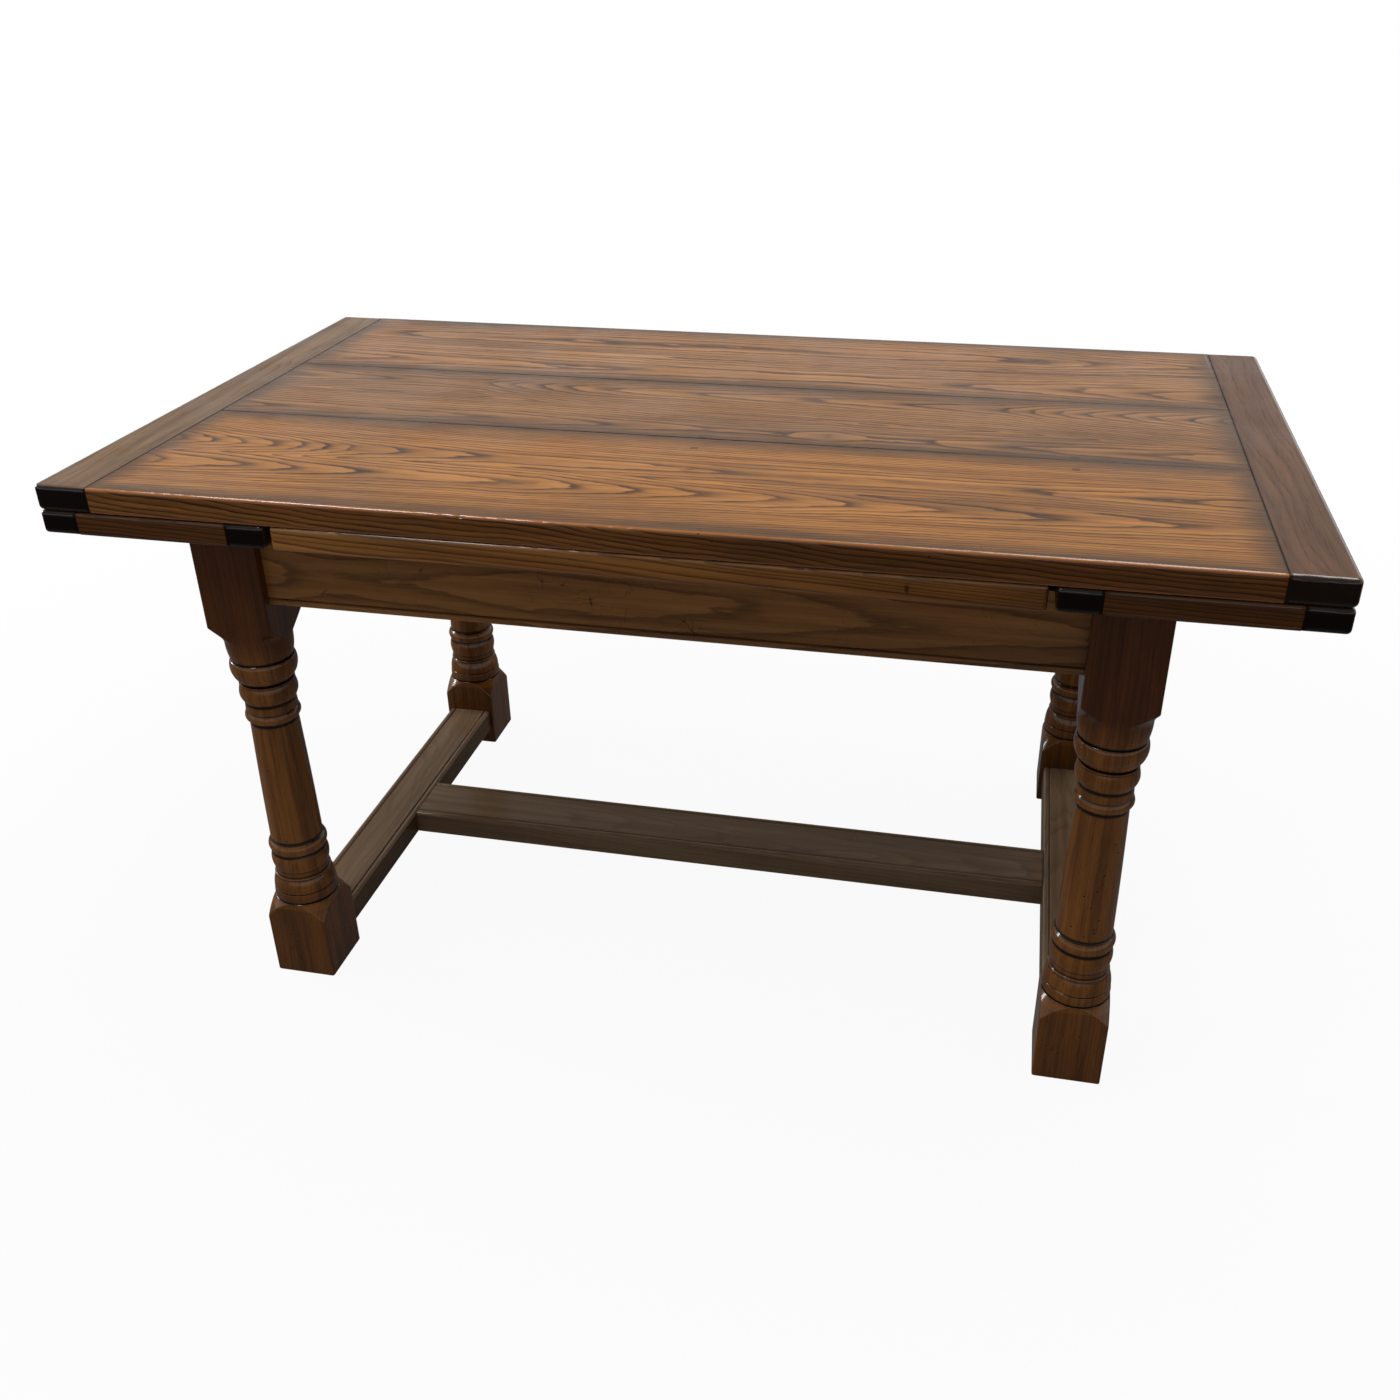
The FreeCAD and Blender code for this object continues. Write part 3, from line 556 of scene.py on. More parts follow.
def steel(name):
    """Dull grey steel of the screws, darker in its scratches."""
    tree = Tree(bpy.data.materials.new(name))
    speck = tree.noise(tree.coordinate("Object"), (900.0, 900.0, 300.0), 3.0)
    colour = tree.mix(tree.band(speck, 0.4, 0.65), srgb(150, 146, 138), srgb(84, 78, 72))
    return tree.close(tree.add("BsdfPrincipled", {
        "Base Color": colour, "Roughness": tree.band(speck, 0.3, 0.7, 0.28, 0.5), "Metallic": 1.0}))


def finishes():
    """Every finish by name."""
    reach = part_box("top_board_back")[1].y
    plank = {"rim": 0.85, "worn": (0.7, reach), "side": PLANK_SIDE_STAIN_AND_SHADE, "holes": 0.74, "marks": 0.78,
             "gloss": 0.34, "pores": 0.5, "coat": 0.2, "polish": 1.0, "grain": 0, "end": 0.6,
             "rings": 1.0, "pegs": PEGS}
    cleat = {"rings": 0.5, "rim": 0.5, "side": 0.7, "grain": 1, "gloss": 0.32, "level": 0.08,
             "coat": 0.1, "polish": 1.0}
    leaf = {"level": 0.06, "coat": 0.1, "side": 0.7}
    fine = {**leaf, "grain": 0, "ring_width": 0.0032, "wander": 0.009, "end": 0.5, "gloss": 0.32}
    frame_oak = {"end": 0.0, "rim": 0.0, "level": 0.04}
    stretcher = {**frame_oak, "grain": 0, "rings": 0.35, "pores": 0.25, "gloss": 0.38, "coat": 0.4}
    made = {}

    def add(name, stains, **changes):
        made[name] = oak(name, stains, **changes)

    add("front_plank_oak", ((176, 118, 56), (140, 90, 42), LINE, SHADE),
        figure=FRONT_PLANK_FIGURE, clusters=EDGE_HOLES, **plank)
    add("middle_plank_oak", ((158, 110, 62), (124, 84, 48), LINE, SHADE),
        figure=MIDDLE_PLANK_FIGURE, **plank)
    add("back_plank_oak", ((168, 116, 66), (136, 92, 52), LINE, SHADE),
        figure=BACK_PLANK_FIGURE, **plank)
    add("top_cleat_left_oak", ((132, 102, 72), (110, 82, 58), (66, 46, 32), (92, 72, 56)),
        end=1.0, **cleat)
    add("top_cleat_right_oak", ((116, 84, 60), (96, 66, 48), (58, 38, 28), (78, 56, 44)), **cleat)
    add("leaf_plank_oak", ((120, 78, 42), (98, 62, 34), (44, 26, 14), SHADE), polish=0.8, **fine)
    add("leaf_cleat_oak", ((96, 64, 44), (76, 48, 34), (40, 24, 16), (64, 46, 36)),
        grain=1, end=1.0, gloss=0.28, polish=1.0, **leaf)
    add("centre_plank_oak", CENTRE_OAK, polish=1.0, **{**fine, "side": CENTRE_SIDE_STAIN_AND_SHADE})
    add("centre_middle_oak", CENTRE_OAK, along="X", **{**fine, "side": 0.5})
    add("rail_oak", ((150, 102, 54), (126, 82, 40), (58, 34, 17), (92, 68, 46)),
        figure=APRON_FIGURE, grain=0, rings=0.7, holes=0.62, marks=0.6, gloss=0.36, coat=0.4,
        **frame_oak)
    add("leg_oak", ((136, 84, 32), (104, 62, 24), (36, 19, 8), (56, 34, 16)),
        rings=0.22, holes=0.6, clusters=LEG_HOLES, marks=0.74, depths=LEG_STAIN_AND_SHADE, coat=0.65,
        coat_rough=0.14, **frame_oak)
    # The end stretchers' upright faces take deeper painted shade than the centre stretcher's
    add("end_stretcher_oak", STRETCHER_OAK, side=0.9, **stretcher)
    add("centre_stretcher_oak", STRETCHER_OAK, side=0.1, **stretcher)
    add("end_rail_oak", ((124, 82, 48), (96, 60, 34), (44, 26, 16), (76, 54, 38)),
        along="Y", grain=1, end=0.4)
    for grain, axis in enumerate("xyz"):
        add("inner_oak_" + axis, INNER_OAK, along=axis.upper(), grain=grain, end=0.4, gloss=0.5,
            level=0.2, coat=0.0)
    made["screw_steel_finish"] = steel("screw_steel_finish")
    return made


def dress_nodes(finish):
    """Materials for the CAD nodes that keep their own mesh."""
    groups = {
        "inner_oak_x": [leaf + part for leaf in ("left_leaf_", "right_leaf_")
                        for part in ("bearer_front", "bearer_back", "stops")],
        "inner_oak_y": ["cross_rail_left", "cross_rail_right", "top_guide_blocks"],
        "inner_oak_z": ["top_guide_pegs"],
        "centre_middle_oak": ["centre_board_middle"],
        "end_rail_oak": ["end_rail_left", "end_rail_right"],
        "screw_steel_finish": [group + "_screws" for group in (
            "left_leaf", "right_leaf", "centre_board", "top_guide")],
    }
    for look, names in groups.items():
        for name in names:
            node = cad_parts[name]
            node.data.materials.clear()
            node.data.materials.append(finish[look])


def add_object(name, data):
    made = bpy.data.objects.new(name, data)
    bpy.context.scene.collection.objects.link(made)
    return made


def finish_piece(name, points, faces, material, body, node, log, box, sharp=BOARD_SHARP,
                 relief=None, free=None):
    """Mesh object with its grain attributes, which rides on a body and stands for its CAD node."""
    centre, half = (box[0] + box[1]) / 2, (box[1] - box[0]) / 2
    mesh = bpy.data.meshes.new(name)
    mesh.from_pydata([tuple(p) for p in points], [], faces)
    mesh.validate()
    points = np.array([v.co for v in mesh.vertices])
    for title, values in (("log", log(points)), ("place", points - np.array(centre)),
                          ("half", np.tile(half, (len(points), 1)))):
        attribute = mesh.attributes.new(title, "FLOAT_VECTOR", "POINT")
        attribute.data.foreach_set("vector", np.ascontiguousarray(values, np.float32).ravel())
    for title, values in (("relief", relief), ("free", free)):
        if values is not None:
            attribute = mesh.attributes.new(title, "FLOAT", "POINT")
            attribute.data.foreach_set("value", np.ascontiguousarray(values, np.float32))
    mesh.polygons.foreach_set("use_smooth", [True] * len(mesh.polygons))
    mesh.set_sharp_from_angle(angle=math.radians(sharp))
    mesh.materials.append(material)
    piece = add_object(name, mesh)
    flat = piece.modifiers.new("flat_faces", "WEIGHTED_NORMAL")
    flat.keep_sharp = True
    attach(piece, body)
    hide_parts(node)


def grain_frame(axis, centre, pith, slope):
    """Place in the log of each point: along the grain, across it and out from the pith."""
    def place(points):
        local = points - np.array(centre)
        turned = local[:, GRAIN_ORDER[axis]]
        turned[:, 2] += turned[:, 0] * slope
        return turned + np.array(pith)
    return place


def tube_faces(rows, loop, flip=False):
    """Faces of a tube of points: rows of one loop each, with both ends closed."""
    last = (rows - 1) * loop
    faces = [tuple(range(loop)), tuple(reversed(range(last, last + loop)))]
    for row in range(rows - 1):
        for j in range(loop):
            here, there = row * loop + j, row * loop + (j + 1) % loop
            faces.append((there, here, here + loop, there + loop))
    return [tuple(reversed(face)) for face in faces] if flip else faces


def rounding_inset(height, radius):
    """How far a rounded edge stands back at a height above its end."""
    if height >= radius:
        return 0.0
    return radius - math.sqrt(radius ** 2 - (radius - height) ** 2)


def slab(low, high, arris, corners, seed, wear):
    """Board with its own rounding on each side (west, south, east, north) and corner. Returns its points,
    its faces and, for each point, whether it is on a side that is open to the touch."""
    size = high - low
    steps = [max(int(size.x / OUTLINE_STEP), 2), max(int(size.y / OUTLINE_STEP), 2)]
    rises = [max(arris) * (1 - math.cos(math.pi / 2 * k / ARRIS_STEPS)) for k in range(ARRIS_STEPS + 1)]
    levels = rises + [size.z - rise for rise in reversed(rises)]
    rings, free = [], []
    loose = [side > FREE_ARRIS for side in arris]
    for level in levels:
        inset = [max(rounding_inset(level, side), rounding_inset(size.z - level, side)) for side in arris]
        x0, y0 = low.x + inset[0], low.y + inset[1]
        x1, y1 = high.x - inset[2], high.y - inset[3]
        radii = [max(corner - min(inset[k], inset[(k + 1) % 4]), SHARPEST_CORNER)
                 for k, corner in enumerate(corners)]
        centres = [(x0 + radii[0], y0 + radii[0]), (x1 - radii[1], y0 + radii[1]),
                   (x1 - radii[2], y1 - radii[2]), (x0 + radii[3], y1 - radii[3])]
        ring = []
        for k, (cx, cy) in enumerate(centres):
            after = (k + 1) % 4
            start = math.pi * (1 + k / 2)
            stop_angle = start + math.pi / 2
            for j in range(CORNER_STEPS + 1):
                angle = start + math.pi / 2 * j / CORNER_STEPS
                ring.append((cx + radii[k] * math.cos(angle), cy + radii[k] * math.sin(angle)))
                free.append(loose[k] and loose[after])
            begin = ring[-1]
            stop = (centres[after][0] + radii[after] * math.cos(stop_angle),
                    centres[after][1] + radii[after] * math.sin(stop_angle))
            for j in range(1, steps[k % 2]):
                t = j / steps[k % 2]
                ring.append((begin[0] + (stop[0] - begin[0]) * t, begin[1] + (stop[1] - begin[1]) * t))
                free.append(loose[after])
        rings.append([(x, y, low.z + level) for x, y in ring])
    points = np.array(rings)
    if wear:
        points = knocked(points, low, high, levels, max(arris), seed, wear)
    return points.reshape(-1, 3), tube_faces(len(levels), points.shape[1], flip=True), free


def dents(along, seed, depth):
    """Depth, at each place along an edge, of small hollows scattered over it."""
    random = np.random.default_rng(seed)
    count = int(along[-1] / DENT_PITCH)
    places = random.uniform(0, along[-1], count)
    widths = random.uniform(*DENT_WIDTHS, count) * MM
    depths = random.uniform(SHALLOWEST_DENT, 1.0, count) ** 2 * depth
    return np.sum(depths * np.exp(-((along[:, None] - places) / widths) ** 2), axis=1)


def knocked(points, low, high, levels, rounding, seed, wear):
    """The upper arris pressed in here and there, as knocks do over the years."""
    dented = points.copy()
    middle = np.array([(low.x + high.x) / 2, (low.y + high.y) / 2])
    reach = np.array([(high.x - low.x) / 2, (high.y - low.y) / 2])
    along = np.cumsum(np.linalg.norm(np.diff(points[0], axis=0, append=points[0][:1]), axis=1))
    dent = dents(along, seed, wear)
    for row, level in enumerate(levels):
        depth = (high.z - low.z) - level
        if depth >= rounding:
            continue
        weight = math.sin(math.pi * min(depth / rounding, 1.0)) ** 0.5
        side = (dented[row, :, :2] - middle) / reach
        outward = np.where(np.abs(side) > 1 - DENT_RIM, np.sign(side), 0.0)
        dented[row, :, :2] -= outward * (dent * weight)[:, None]
        dented[row, :, 2] -= dent * weight * DENT_DROP
    return dented


def board(name, node, body, material, box, rounding, grain, seed, wear, origin=None):
    """A board in place of its CAD node. The rounding is that of its sides and of its corners. The grain is
    its axis, place in the log and slope, taken from the board's own centre or from the origin given."""
    points, faces, free = slab(*box, *rounding, seed, wear)
    axis, pith, slope = grain
    log = grain_frame(axis, origin or (box[0] + box[1]) / 2, pith, slope)
    finish_piece(name, points, faces, material, body, node, log, box, free=free)


def between(node, west, east):
    """The box of a plank or rail between the pieces that it joins, without its tongues or tenons."""
    low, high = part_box(node)
    low.x, high.x = west, east
    return low, high


def plank_rounding(place, ends, edge, corners=(TIGHT_CORNER,) * 4):
    """Rounding of a plank's sides and corners. Its long sides are seams unless they face out."""
    front = edge if place == "front" else SEAM_ARRIS
    back = edge if place == "back" else SEAM_ARRIS
    return (ends, front, ends, back), corners


def cleat_rounding(west_free, edge, corner):
    """Rounding of a cleat's sides, of which one is joined to the planks, and of its corners."""
    west, east = (edge, JOINT_ARRIS) if west_free else (JOINT_ARRIS, edge)
    west_corner, east_corner = (corner, TIGHT_CORNER) if west_free else (TIGHT_CORNER, corner)
    return (west, edge, east, edge), (west_corner, east_corner, east_corner, west_corner)


def make_top(finish):
    """Three planks between two cleats, all loose from the frame."""
    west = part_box("top_cleat_left")[1].x
    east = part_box("top_cleat_right")[0].x
    for seed, place in enumerate(("front", "middle", "back"), 11):
        node = "top_board_" + place
        box = between(node, west, east)
        board("top_plank_" + place, node, "top", finish[place + "_plank_oak"], box,
              plank_rounding(place, JOINT_ARRIS, TOP_ARRIS), ("X", (0, 0, 0), 0), seed,
              TOP_WEAR if place != "middle" else 0.0, (0, 0, box[1].z))
    for side, turn in (("left", -1), ("right", 1)):
        node = "top_cleat_" + side
        board("top_end_cleat_" + side, node, "top", finish[node + "_oak"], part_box(node),
              cleat_rounding(turn < 0, CLEAT_ARRIS, TOP_CORNER),
              ("Y", (0.4 + turn, 0.05 * turn, 0.09), 0.02 * turn), 20 + turn, TOP_WEAR)


def make_leaf(side, finish):
    """A leaf: three short planks between an outer and an inner cleat."""
    turn = -1 if side == "left" else 1
    body = side + "_leaf"
    outer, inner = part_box(body + "_outer_cleat"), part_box(body + "_inner_cleat")
    west, east = (outer[1].x, inner[0].x) if turn < 0 else (inner[1].x, outer[0].x)
    for k, place in enumerate(("front", "middle", "back")):
        node = f"{body}_board_{place}"
        board(f"{body}_plank_{place}", node, body, finish["leaf_plank_oak"],
              between(node, west, east), plank_rounding(place, JOINT_ARRIS, LEAF_ARRIS),
              ("X", (2.3 * k + turn, 0.04 - 0.03 * k, 0.06), 0.05), 40 + k + turn, LEAF_WEAR)
    for part, box in (("outer", outer), ("inner", inner)):
        west_free = (part == "outer") == (turn < 0)
        board(f"{body}_{part}_end_cleat", f"{body}_{part}_cleat", body,
              finish["leaf_cleat_oak"], box, cleat_rounding(west_free, LEAF_CLEAT_ARRIS, LEAF_CORNER),
              ("Y", (0.6 * turn, 0.03, 0.08), 0.02), 60 + turn, LEAF_WEAR)


def make_centre_board(finish):
    """Outer planks of the fixed board between the leaves. The middle one, which the guide pegs pass
    through, is the CAD mesh."""
    free, joined = (LEAF_CORNER,) * 2, (TIGHT_CORNER,) * 2
    for k, place, corners in ((0, "front", free + joined), (2, "back", joined + free)):
        node = "centre_board_" + place
        board("centre_plank_" + place, node, "frame", finish["centre_plank_oak"],
              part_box(node), plank_rounding(place, LEAF_ARRIS, LEAF_ARRIS, corners),
              ("X", (1.3 * k, 0.05 - 0.03 * k, 0.055), 0.05), 80 + k, LEAF_WEAR)


def arc(start, peak, end, low, high, count):
    """Points of one bead, from its upper edge down to its lower one, bulging to the peak radius."""
    rim = max(start, end)
    points = []
    for k in range(count + 1):
        angle = math.pi * k / count
        edge = start + (end - start) * (1 - math.cos(angle)) / 2
        bulge = (max(peak - rim, 0) + rim - edge) * math.sin(angle)
        points.append((edge + bulge, high + (low - high) * k / count))
    return points


def straight(start, end, high, low, count, bow=0.0):
    """Points of a straight or slightly swelling stretch."""
    return [(start + (end - start) * k / count + bow * math.sin(math.pi * k / count),
             high + (low - high) * k / count) for k in range(count + 1)]


def shoulder_outline(corner):
    """Hollow curve that comes in steeply below the top block and ends upright."""
    count = 16
    return [(SHOULDER_FOOT + (corner - SHOULDER_FOOT) * (1 - math.sin(math.pi / 2 * k / count)) ** 0.9,
             SHOULDER - SHOULDER_SWEEP * k / count) for k in range(count + 1)]


def torus_outline():
    """The large roll, fullest near its top, with fine lines cut below."""
    points = []
    count = 44
    for k in range(count + 1):
        t = k / count
        level = NECK_LEVEL + (TORUS_END + 0.8 - NECK_LEVEL) * t
        below = max(t - TORUS_FULLEST, 0) / (1 - TORUS_FULLEST)
        radius = TORUS_FOOT + (TORUS - TORUS_FOOT) * (1 - below ** 2) ** 0.75
        radius -= TORUS_CREST_DEPTH * (1 - math.sqrt(1 - max(1 - t / TORUS_CREST, 0) ** 2))
        for place, depth in TORUS_CUTS:
            radius -= depth * math.exp(-((level - place) / TORUS_CUT_WIDTH) ** 2)
        points.append((radius, level))
    return points


def foot_outline(corner):
    """Sweep from the last quirk to the corners of the foot block. It cuts the faces in round arches."""
    count = 24
    start, begin = FOOT_BAND_END - 2.8, FOOT_BAND + 0.6
    points = []
    for k in range(count + 1):
        t = k / count
        radius = math.sqrt(begin ** 2 + (corner ** 2 - begin ** 2) * t)
        points.append((radius, start + (FOOT_CORNER - start) * t))
    return points + [(corner, FOOT_CORNER - 0.5), (corner, LEG_FOOT_ROUND)]


def leg_outline(top, corner):
    """Radius and level of the turning in millimetres, from the top block down to the foot block."""
    return [
        (corner, top), (corner, SHOULDER), *shoulder_outline(corner),
        *straight(SHOULDER_FOOT, NECK, SHOULDER - SHOULDER_SWEEP, NECK_LEVEL + 1.5, 12, 0.8),
        (NECK - NECK_FILLET, NECK_LEVEL + 1), (NECK - NECK_FILLET, NECK_LEVEL),
        *torus_outline(), (TORUS_FOOT, TORUS_END + 0.6), (TORUS_FOOT, TORUS_END),
        (BEAD - 2.2, TORUS_END - 0.8), (BEAD - 1.9, TORUS_END - 2.6),
        (BEAD - 2.6, TORUS_END - 3.2),
        *arc(BEAD - 2.6, BEAD, BAND, BEAD_END, TORUS_END - 3.6, 16),
        *straight(BAND, BAND + 0.9, BEAD_END - GAP, BAND_END + GAP, 4),
        *arc(BAND + GAP, RING, COLUMN_TOP, RING_END, BAND_END, 12),
        *straight(COLUMN_TOP, COLUMN_FOOT, RING_END - GAP, COLUMN_END + GAP, 40, 0.5),
        *arc(COLUMN_FOOT, LOWER_RING, VALLEY, LOWER_RING_END, COLUMN_END, 16),
        *arc(VALLEY, SECOND_RING, ANKLE, SECOND_RING_END, LOWER_RING_END - GAP, 16),
        *straight(ANKLE, ANKLE, SECOND_RING_END - GAP, ANKLE_END + 4, 4),
        *arc(ANKLE, ANKLE_FILLET, ANKLE + 0.6, ANKLE_END, ANKLE_END + 3.8, 6),
        *straight(ANKLE + 1.0, FLARE, ANKLE_END - 0.5, FLARE_END, 14, 0.9),
        (FLARE - QUIRK, FLARE_END - 0.5), (FLARE - QUIRK, FLARE_END - 1.5),
        *straight(FOOT_BAND - 0.6, FOOT_BAND, FLARE_END - 2.2, FOOT_BAND_END, 8, 0.7),
        (FOOT_BAND - QUIRK, FOOT_BAND_END - 0.5), (FOOT_BAND - QUIRK, FOOT_BAND_END - 1.8),
        (FOOT_BAND + GAP, FOOT_BAND_END - 2.4), *foot_outline(corner),
    ]


def leg_rows(outline, corner):
    """Radius and level of each row of points, which lie closer together over the turning."""
    radii, levels = [], []
    for (r0, z0), (r1, z1) in zip(outline, outline[1:]):
        dense = FOOT_CORNER - 4 < z1 < SHOULDER + 4
        parts = max(1, math.ceil(math.hypot(r1 - r0, z1 - z0) / LEG_STEP)) if dense else 3
        for k in range(parts):
            radii.append(r0 + (r1 - r0) * k / parts)
            levels.append(z0 + (z1 - z0) * k / parts)
    for k in range(5):
        radii.append(corner)
        levels.append(LEG_FOOT_ROUND * (1 - math.sin(math.pi / 2 * k / 4)))
    return np.array(radii), np.array(levels)


def square_reach(angles, half, corner):
    """Distance from the axis to a square with rounded corners, at each angle."""
    folded = np.abs((angles + math.pi / 4) % (math.pi / 2) - math.pi / 4)
    middle = half - corner
    along = (np.cos(folded) + np.sin(folded)) * middle
    round_reach = along + np.sqrt(np.maximum(along ** 2 - 2 * middle ** 2 + corner ** 2, 0))
    return np.where(np.tan(folded) * half > middle, round_reach, half / np.cos(folded))


def soft_least(first, second, blend):
    """The smaller of two lengths, eased where they meet."""
    h = np.clip(0.5 + 0.5 * (second - first) / blend, 0, 1)
    return second + (first - second) * h - blend * h * (1 - h)


def moulding_relief(radii, levels):
    """How far each row of the turning stands out (up to 1) or lies back (down to -1)."""
    turned = (levels > FOOT_CORNER + 20) & (levels < SHOULDER - SHOULDER_SWEEP)
    grid = np.arange(0, RELIEF_TOP, RELIEF_STEP)
    order = np.argsort(levels)
    even = np.interp(grid, levels[order], np.minimum(radii[order], RELIEF_WIDEST))
    offsets = np.arange(-RELIEF_SPAN, RELIEF_SPAN + 1) * RELIEF_STEP
    weights = np.exp(-(offsets / RELIEF_REACH) ** 2)
    smooth = np.convolve(np.pad(even, RELIEF_SPAN, mode="edge"), weights / weights.sum(), "valid")
    return np.where(turned, np.clip((radii - np.interp(levels, grid, smooth)) / RELIEF_DEPTH, -1, 1), 0.0)


def make_leg(name, seed, finish):
    """One square blank, turned between its blocks; the turning cuts the faces in arches."""
    low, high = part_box(name)
    half = (high.x - low.x) / 2
    centre = (low + high) / 2
    rounding = LEG_CORNER * MM
    corner = float(square_reach(np.array([math.pi / 4]), half, rounding)[0]) / MM + LEG_CLEARANCE
    radii, levels = leg_rows(leg_outline(high.z / MM, corner), corner)
    relief = np.repeat(moulding_relief(radii, levels), LEG_TURNS)
    turns = 2 * math.pi * (np.arange(LEG_TURNS) + 0.5) / LEG_TURNS
    rows = []
    for radius, level in zip(radii * MM, levels * MM):
        tuck = rounding_inset(level, LEG_FOOT_ROUND * MM)
        reach = square_reach(turns, half - tuck, rounding)
        reach = soft_least(np.full(LEG_TURNS, radius - tuck), reach, LEG_BLEND * MM)
        rows.append(np.stack([centre.x + reach * np.cos(turns), centre.y + reach * np.sin(turns),
                              np.full(LEG_TURNS, low.z + level)], axis=1))
    log = grain_frame("Z", centre, ((seed * 0.7) % 3, 0.055 + 0.01 * seed, 0.03), 0.03)
    finish_piece("turned_" + name, np.array(rows).reshape(-1, 3), tube_faces(len(rows), LEG_TURNS),
                 finish["leg_oak"], "frame", name, log, (low, high), LEG_SHARP, relief)


def sweep(profile, axis, start, end):
    """A closed outline of (across, up) run along one axis, with flat ends and faces that look outward."""
    rows = []
    for k in range(RAIL_PARTS + 1):
        place = start + (end - start) * k / RAIL_PARTS
        rows.append([(place, a, b) if axis == "X" else (a, place, b) for a, b in profile])
    points = np.array(rows).reshape(-1, 3)
    faces = tube_faces(len(rows), len(profile))
    volume = 0.0
    for first, *others in faces:
        for second, third in zip(others, others[1:]):
            volume += float(np.dot(points[first], np.cross(points[second], points[third])))
    return points, faces if volume > 0 else [tuple(reversed(face)) for face in faces]


def rail_profile(low, high, outer, inner):
    """Section of an apron, as (y, z): flat board with a quirked bead along its lower outer edge."""
    inward = 1 if inner > outer else -1
    count = 10
    bead = []
    for k in range(count + 1):
        angle = math.pi * k / count
        bead.append((outer + inward * RAIL_BEAD_DEPTH * (1 - math.sin(angle)),
                     low + RAIL_BEAD * (1 - math.cos(angle)) / 2))
    quirk_top = low + RAIL_BEAD + RAIL_QUIRK
    return bead + [(outer + inward * RAIL_BEAD_DEPTH, quirk_top - 0.4 * MM),
                   (outer + inward * 0.5 * MM, quirk_top), (outer, quirk_top + 0.5 * MM),
                   (outer, high), (inner, high), (inner, low)]


def make_apron(place, finish):
    """Front or back apron between the legs."""
    turn = -1 if place == "front" else 1
    node = "apron_" + place
    low, high = between(node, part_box(f"leg_{place}_left")[1].x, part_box(f"leg_{place}_right")[0].x)
    outer, inner = (low.y, high.y) if turn < 0 else (high.y, low.y)
    points, faces = sweep(rail_profile(low.z, high.z, outer, inner), "X", low.x, high.x)

    def log(places):
        local = places - np.array((low + high) / 2)
        return np.stack([local[:, 0], local[:, 2], turn * local[:, 1]], axis=1)
    finish_piece(node + "_board", points, faces, finish["rail_oak"], "frame", node, log,
                 (low, high), RAIL_SHARP)


def stretcher_profile(west, east, low, high):
    """Section of a stretcher, as (across, z): each upper edge carries a round bead inside a quirk."""
    def rounded(edge, inward, level, away, radius, parts):
        turns = [math.pi / 2 * k / parts for k in range(parts + 1)]
        return [(edge + inward * radius * (1 - math.cos(turn)),
                 level + away * radius * (1 - math.sin(turn))) for turn in turns]

    def corner(edge, inward):
        return rounded(edge, inward, high, -1, STRETCHER_ROUND, 8) + [
            (edge + inward * (STRETCHER_BEAD + off * MM), high - down * MM)
            for off, down in STRETCHER_QUIRK]

    def foot(edge, inward):
        return rounded(edge, inward, low, 1, EDGE_ROUND, 4)
    return corner(west, 1) + corner(east, -1)[::-1] + foot(east, -1) + foot(west, 1)[::-1]


def make_stretcher(node, axis, start, end, material, seed):
    """One stretcher from shoulder to shoulder."""
    low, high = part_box(node)
    west, east = (low.x, high.x) if axis == "Y" else (low.y, high.y)
    points, faces = sweep(stretcher_profile(west, east, low.z, high.z), axis, start, end)
    log = grain_frame(axis, (low + high) / 2, (seed * 0.9, 0.02, 0.06), 0.03)
    finish_piece(node.replace("stretcher", "stretcher_rail"), points, faces, material, "frame",
                 node, log, (low, high), RAIL_SHARP)


def make_stretchers(finish):
    """Two stretchers between the legs at the ends, and one between these two."""
    front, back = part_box("leg_front_left")[1].y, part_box("leg_back_left")[0].y
    ends = ("end_stretcher_left", "end_stretcher_right")
    for seed, node in enumerate(ends, 1):
        make_stretcher(node, "Y", front, back, finish["end_stretcher_oak"], seed)
    make_stretcher("centre_stretcher", "X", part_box(ends[0])[1].x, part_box(ends[1])[0].x,
                   finish["centre_stretcher_oak"], 3)


def make_table():
    finish = finishes()
    make_top(finish)
    make_leaf("left", finish)
    make_leaf("right", finish)
    make_centre_board(finish)
    for seed, name in enumerate(("leg_front_left", "leg_front_right", "leg_back_left", "leg_back_right")):
        make_leg(name, seed, finish)
    make_apron("front", finish)
    make_apron("back", finish)
    make_stretchers(finish)
    dress_nodes(finish)


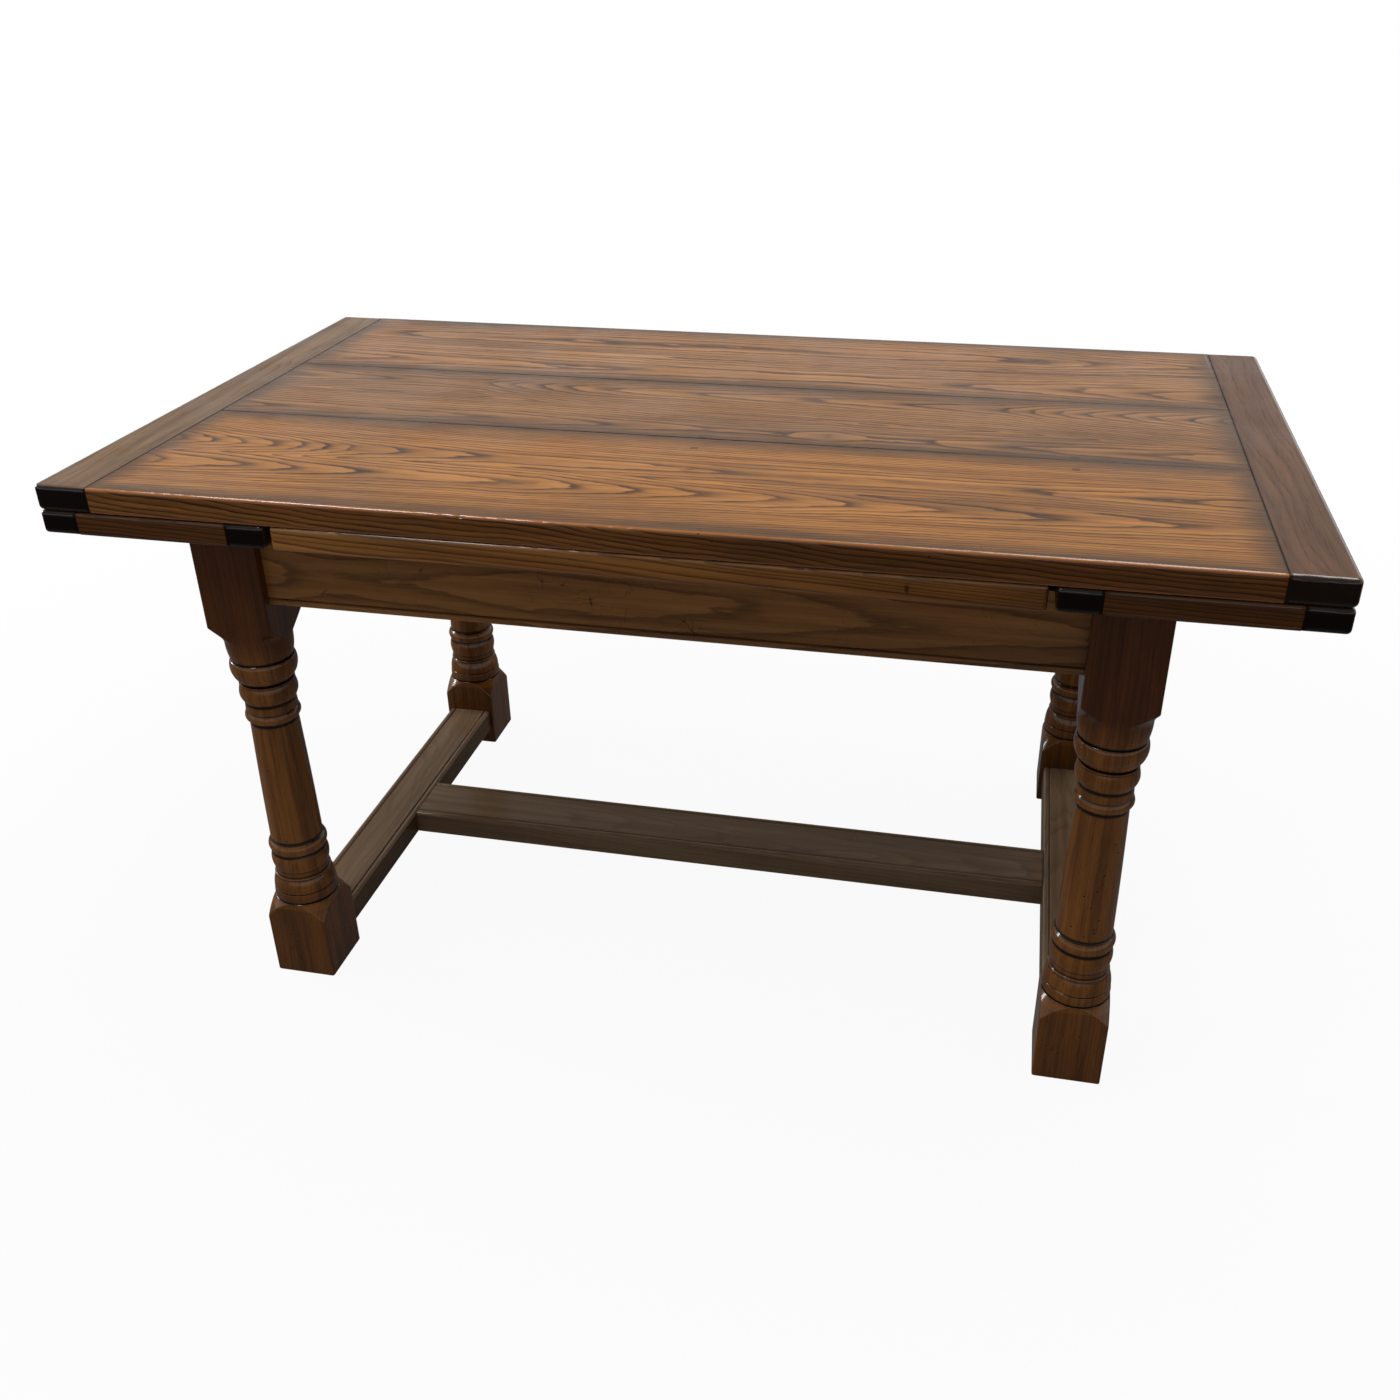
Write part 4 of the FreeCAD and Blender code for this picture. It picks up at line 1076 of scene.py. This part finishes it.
def make_floor():
    """Plain pale floor. Far from the table it is as white as the backdrop; near it, it keeps the shadow.
    Mirrored, it shows dimmer, as the floor of a room does."""
    reach = FLOOR_REACH
    mesh = bpy.data.meshes.new("floor")
    corners = [(-reach, -reach, 0), (reach, -reach, 0), (reach, reach, 0), (-reach, reach, 0)]
    mesh.from_pydata(corners, [], [(0, 1, 2, 3)])
    floor = add_object("floor", mesh)
    tree = Tree(bpy.data.materials.new("pale_floor"))
    path = tree.add("LightPath").outputs
    seen = tree.math("MAXIMUM", path["Is Camera Ray"], path["Is Glossy Ray"])
    seen = tree.math("MAXIMUM", seen, path["Is Transmission Ray"])
    away = tree.vector("LENGTH", tree.coordinate("Object"))
    share = tree.times(seen, tree.band(away, FLOOR_NEAR, FLOOR_FAR, FLOOR_NEAR_WHITE, 1.0))
    strength = tree.scaled(path["Is Glossy Ray"], MIRRORED_FLOOR - 1.0, 1.0)
    pale = tree.add("BsdfDiffuse", {"Color": FLOOR_GREY})
    white = tree.add("Emission", {"Color": (1, 1, 1, 1), "Strength": strength})
    both = tree.add("MixShader", {0: share, 1: pale.outputs[0], 2: white.outputs[0]})
    mesh.materials.append(tree.close(both))


def make_world():
    """White backdrop for what is seen, darker towards its top where it is mirrored, and a dimmer even
    light on the table."""
    tree = Tree(bpy.data.worlds.new("studio"))
    path = tree.add("LightPath").outputs
    direct = tree.math("MAXIMUM", path["Is Camera Ray"], path["Is Transmission Ray"])
    up = tree.split(tree.coordinate("Generated"))[2]
    fade = tree.times(tree.band(up, 0.05, 0.2, 1.0, 0.75), tree.band(up, 0.22, 0.45, 1.0, 0.35))
    mirrored = tree.times(path["Is Glossy Ray"], fade)
    strength = tree.math("MAXIMUM", tree.math("MAXIMUM", direct, mirrored), AMBIENT)
    background = tree.add("Background", {"Color": (1, 1, 1, 1), "Strength": strength})
    bpy.context.scene.world = tree.close(background, "OutputWorld")


def make_lamps():
    """The three lamps, each turned to its target."""
    for name, place, target, size, power, colour in LAMPS:
        data = bpy.data.lights.new(name, "AREA")
        data.shape = "RECTANGLE"
        data.size, data.size_y = size
        data.energy = power
        data.color = colour
        lamp = add_object(name, data)
        lamp.location = place
        lamp.rotation_euler = (Vector(target) - Vector(place)).to_track_quat("-Z", "Y").to_euler()


def make_camera():
    data = bpy.data.cameras.new("camera")
    data.sensor_width = CAMERA_SENSOR
    data.lens = CAMERA_LENS
    data.shift_x, data.shift_y = CAMERA_SHIFT
    camera = add_object("camera", data)
    camera.location = CAMERA_PLACE
    camera.rotation_euler = Euler([math.radians(a) for a in CAMERA_TURN], "XYZ")
    bpy.context.scene.camera = camera


make_table()
make_floor()
make_world()
make_lamps()
make_camera()
bpy.context.scene.view_settings.view_transform = "Standard"
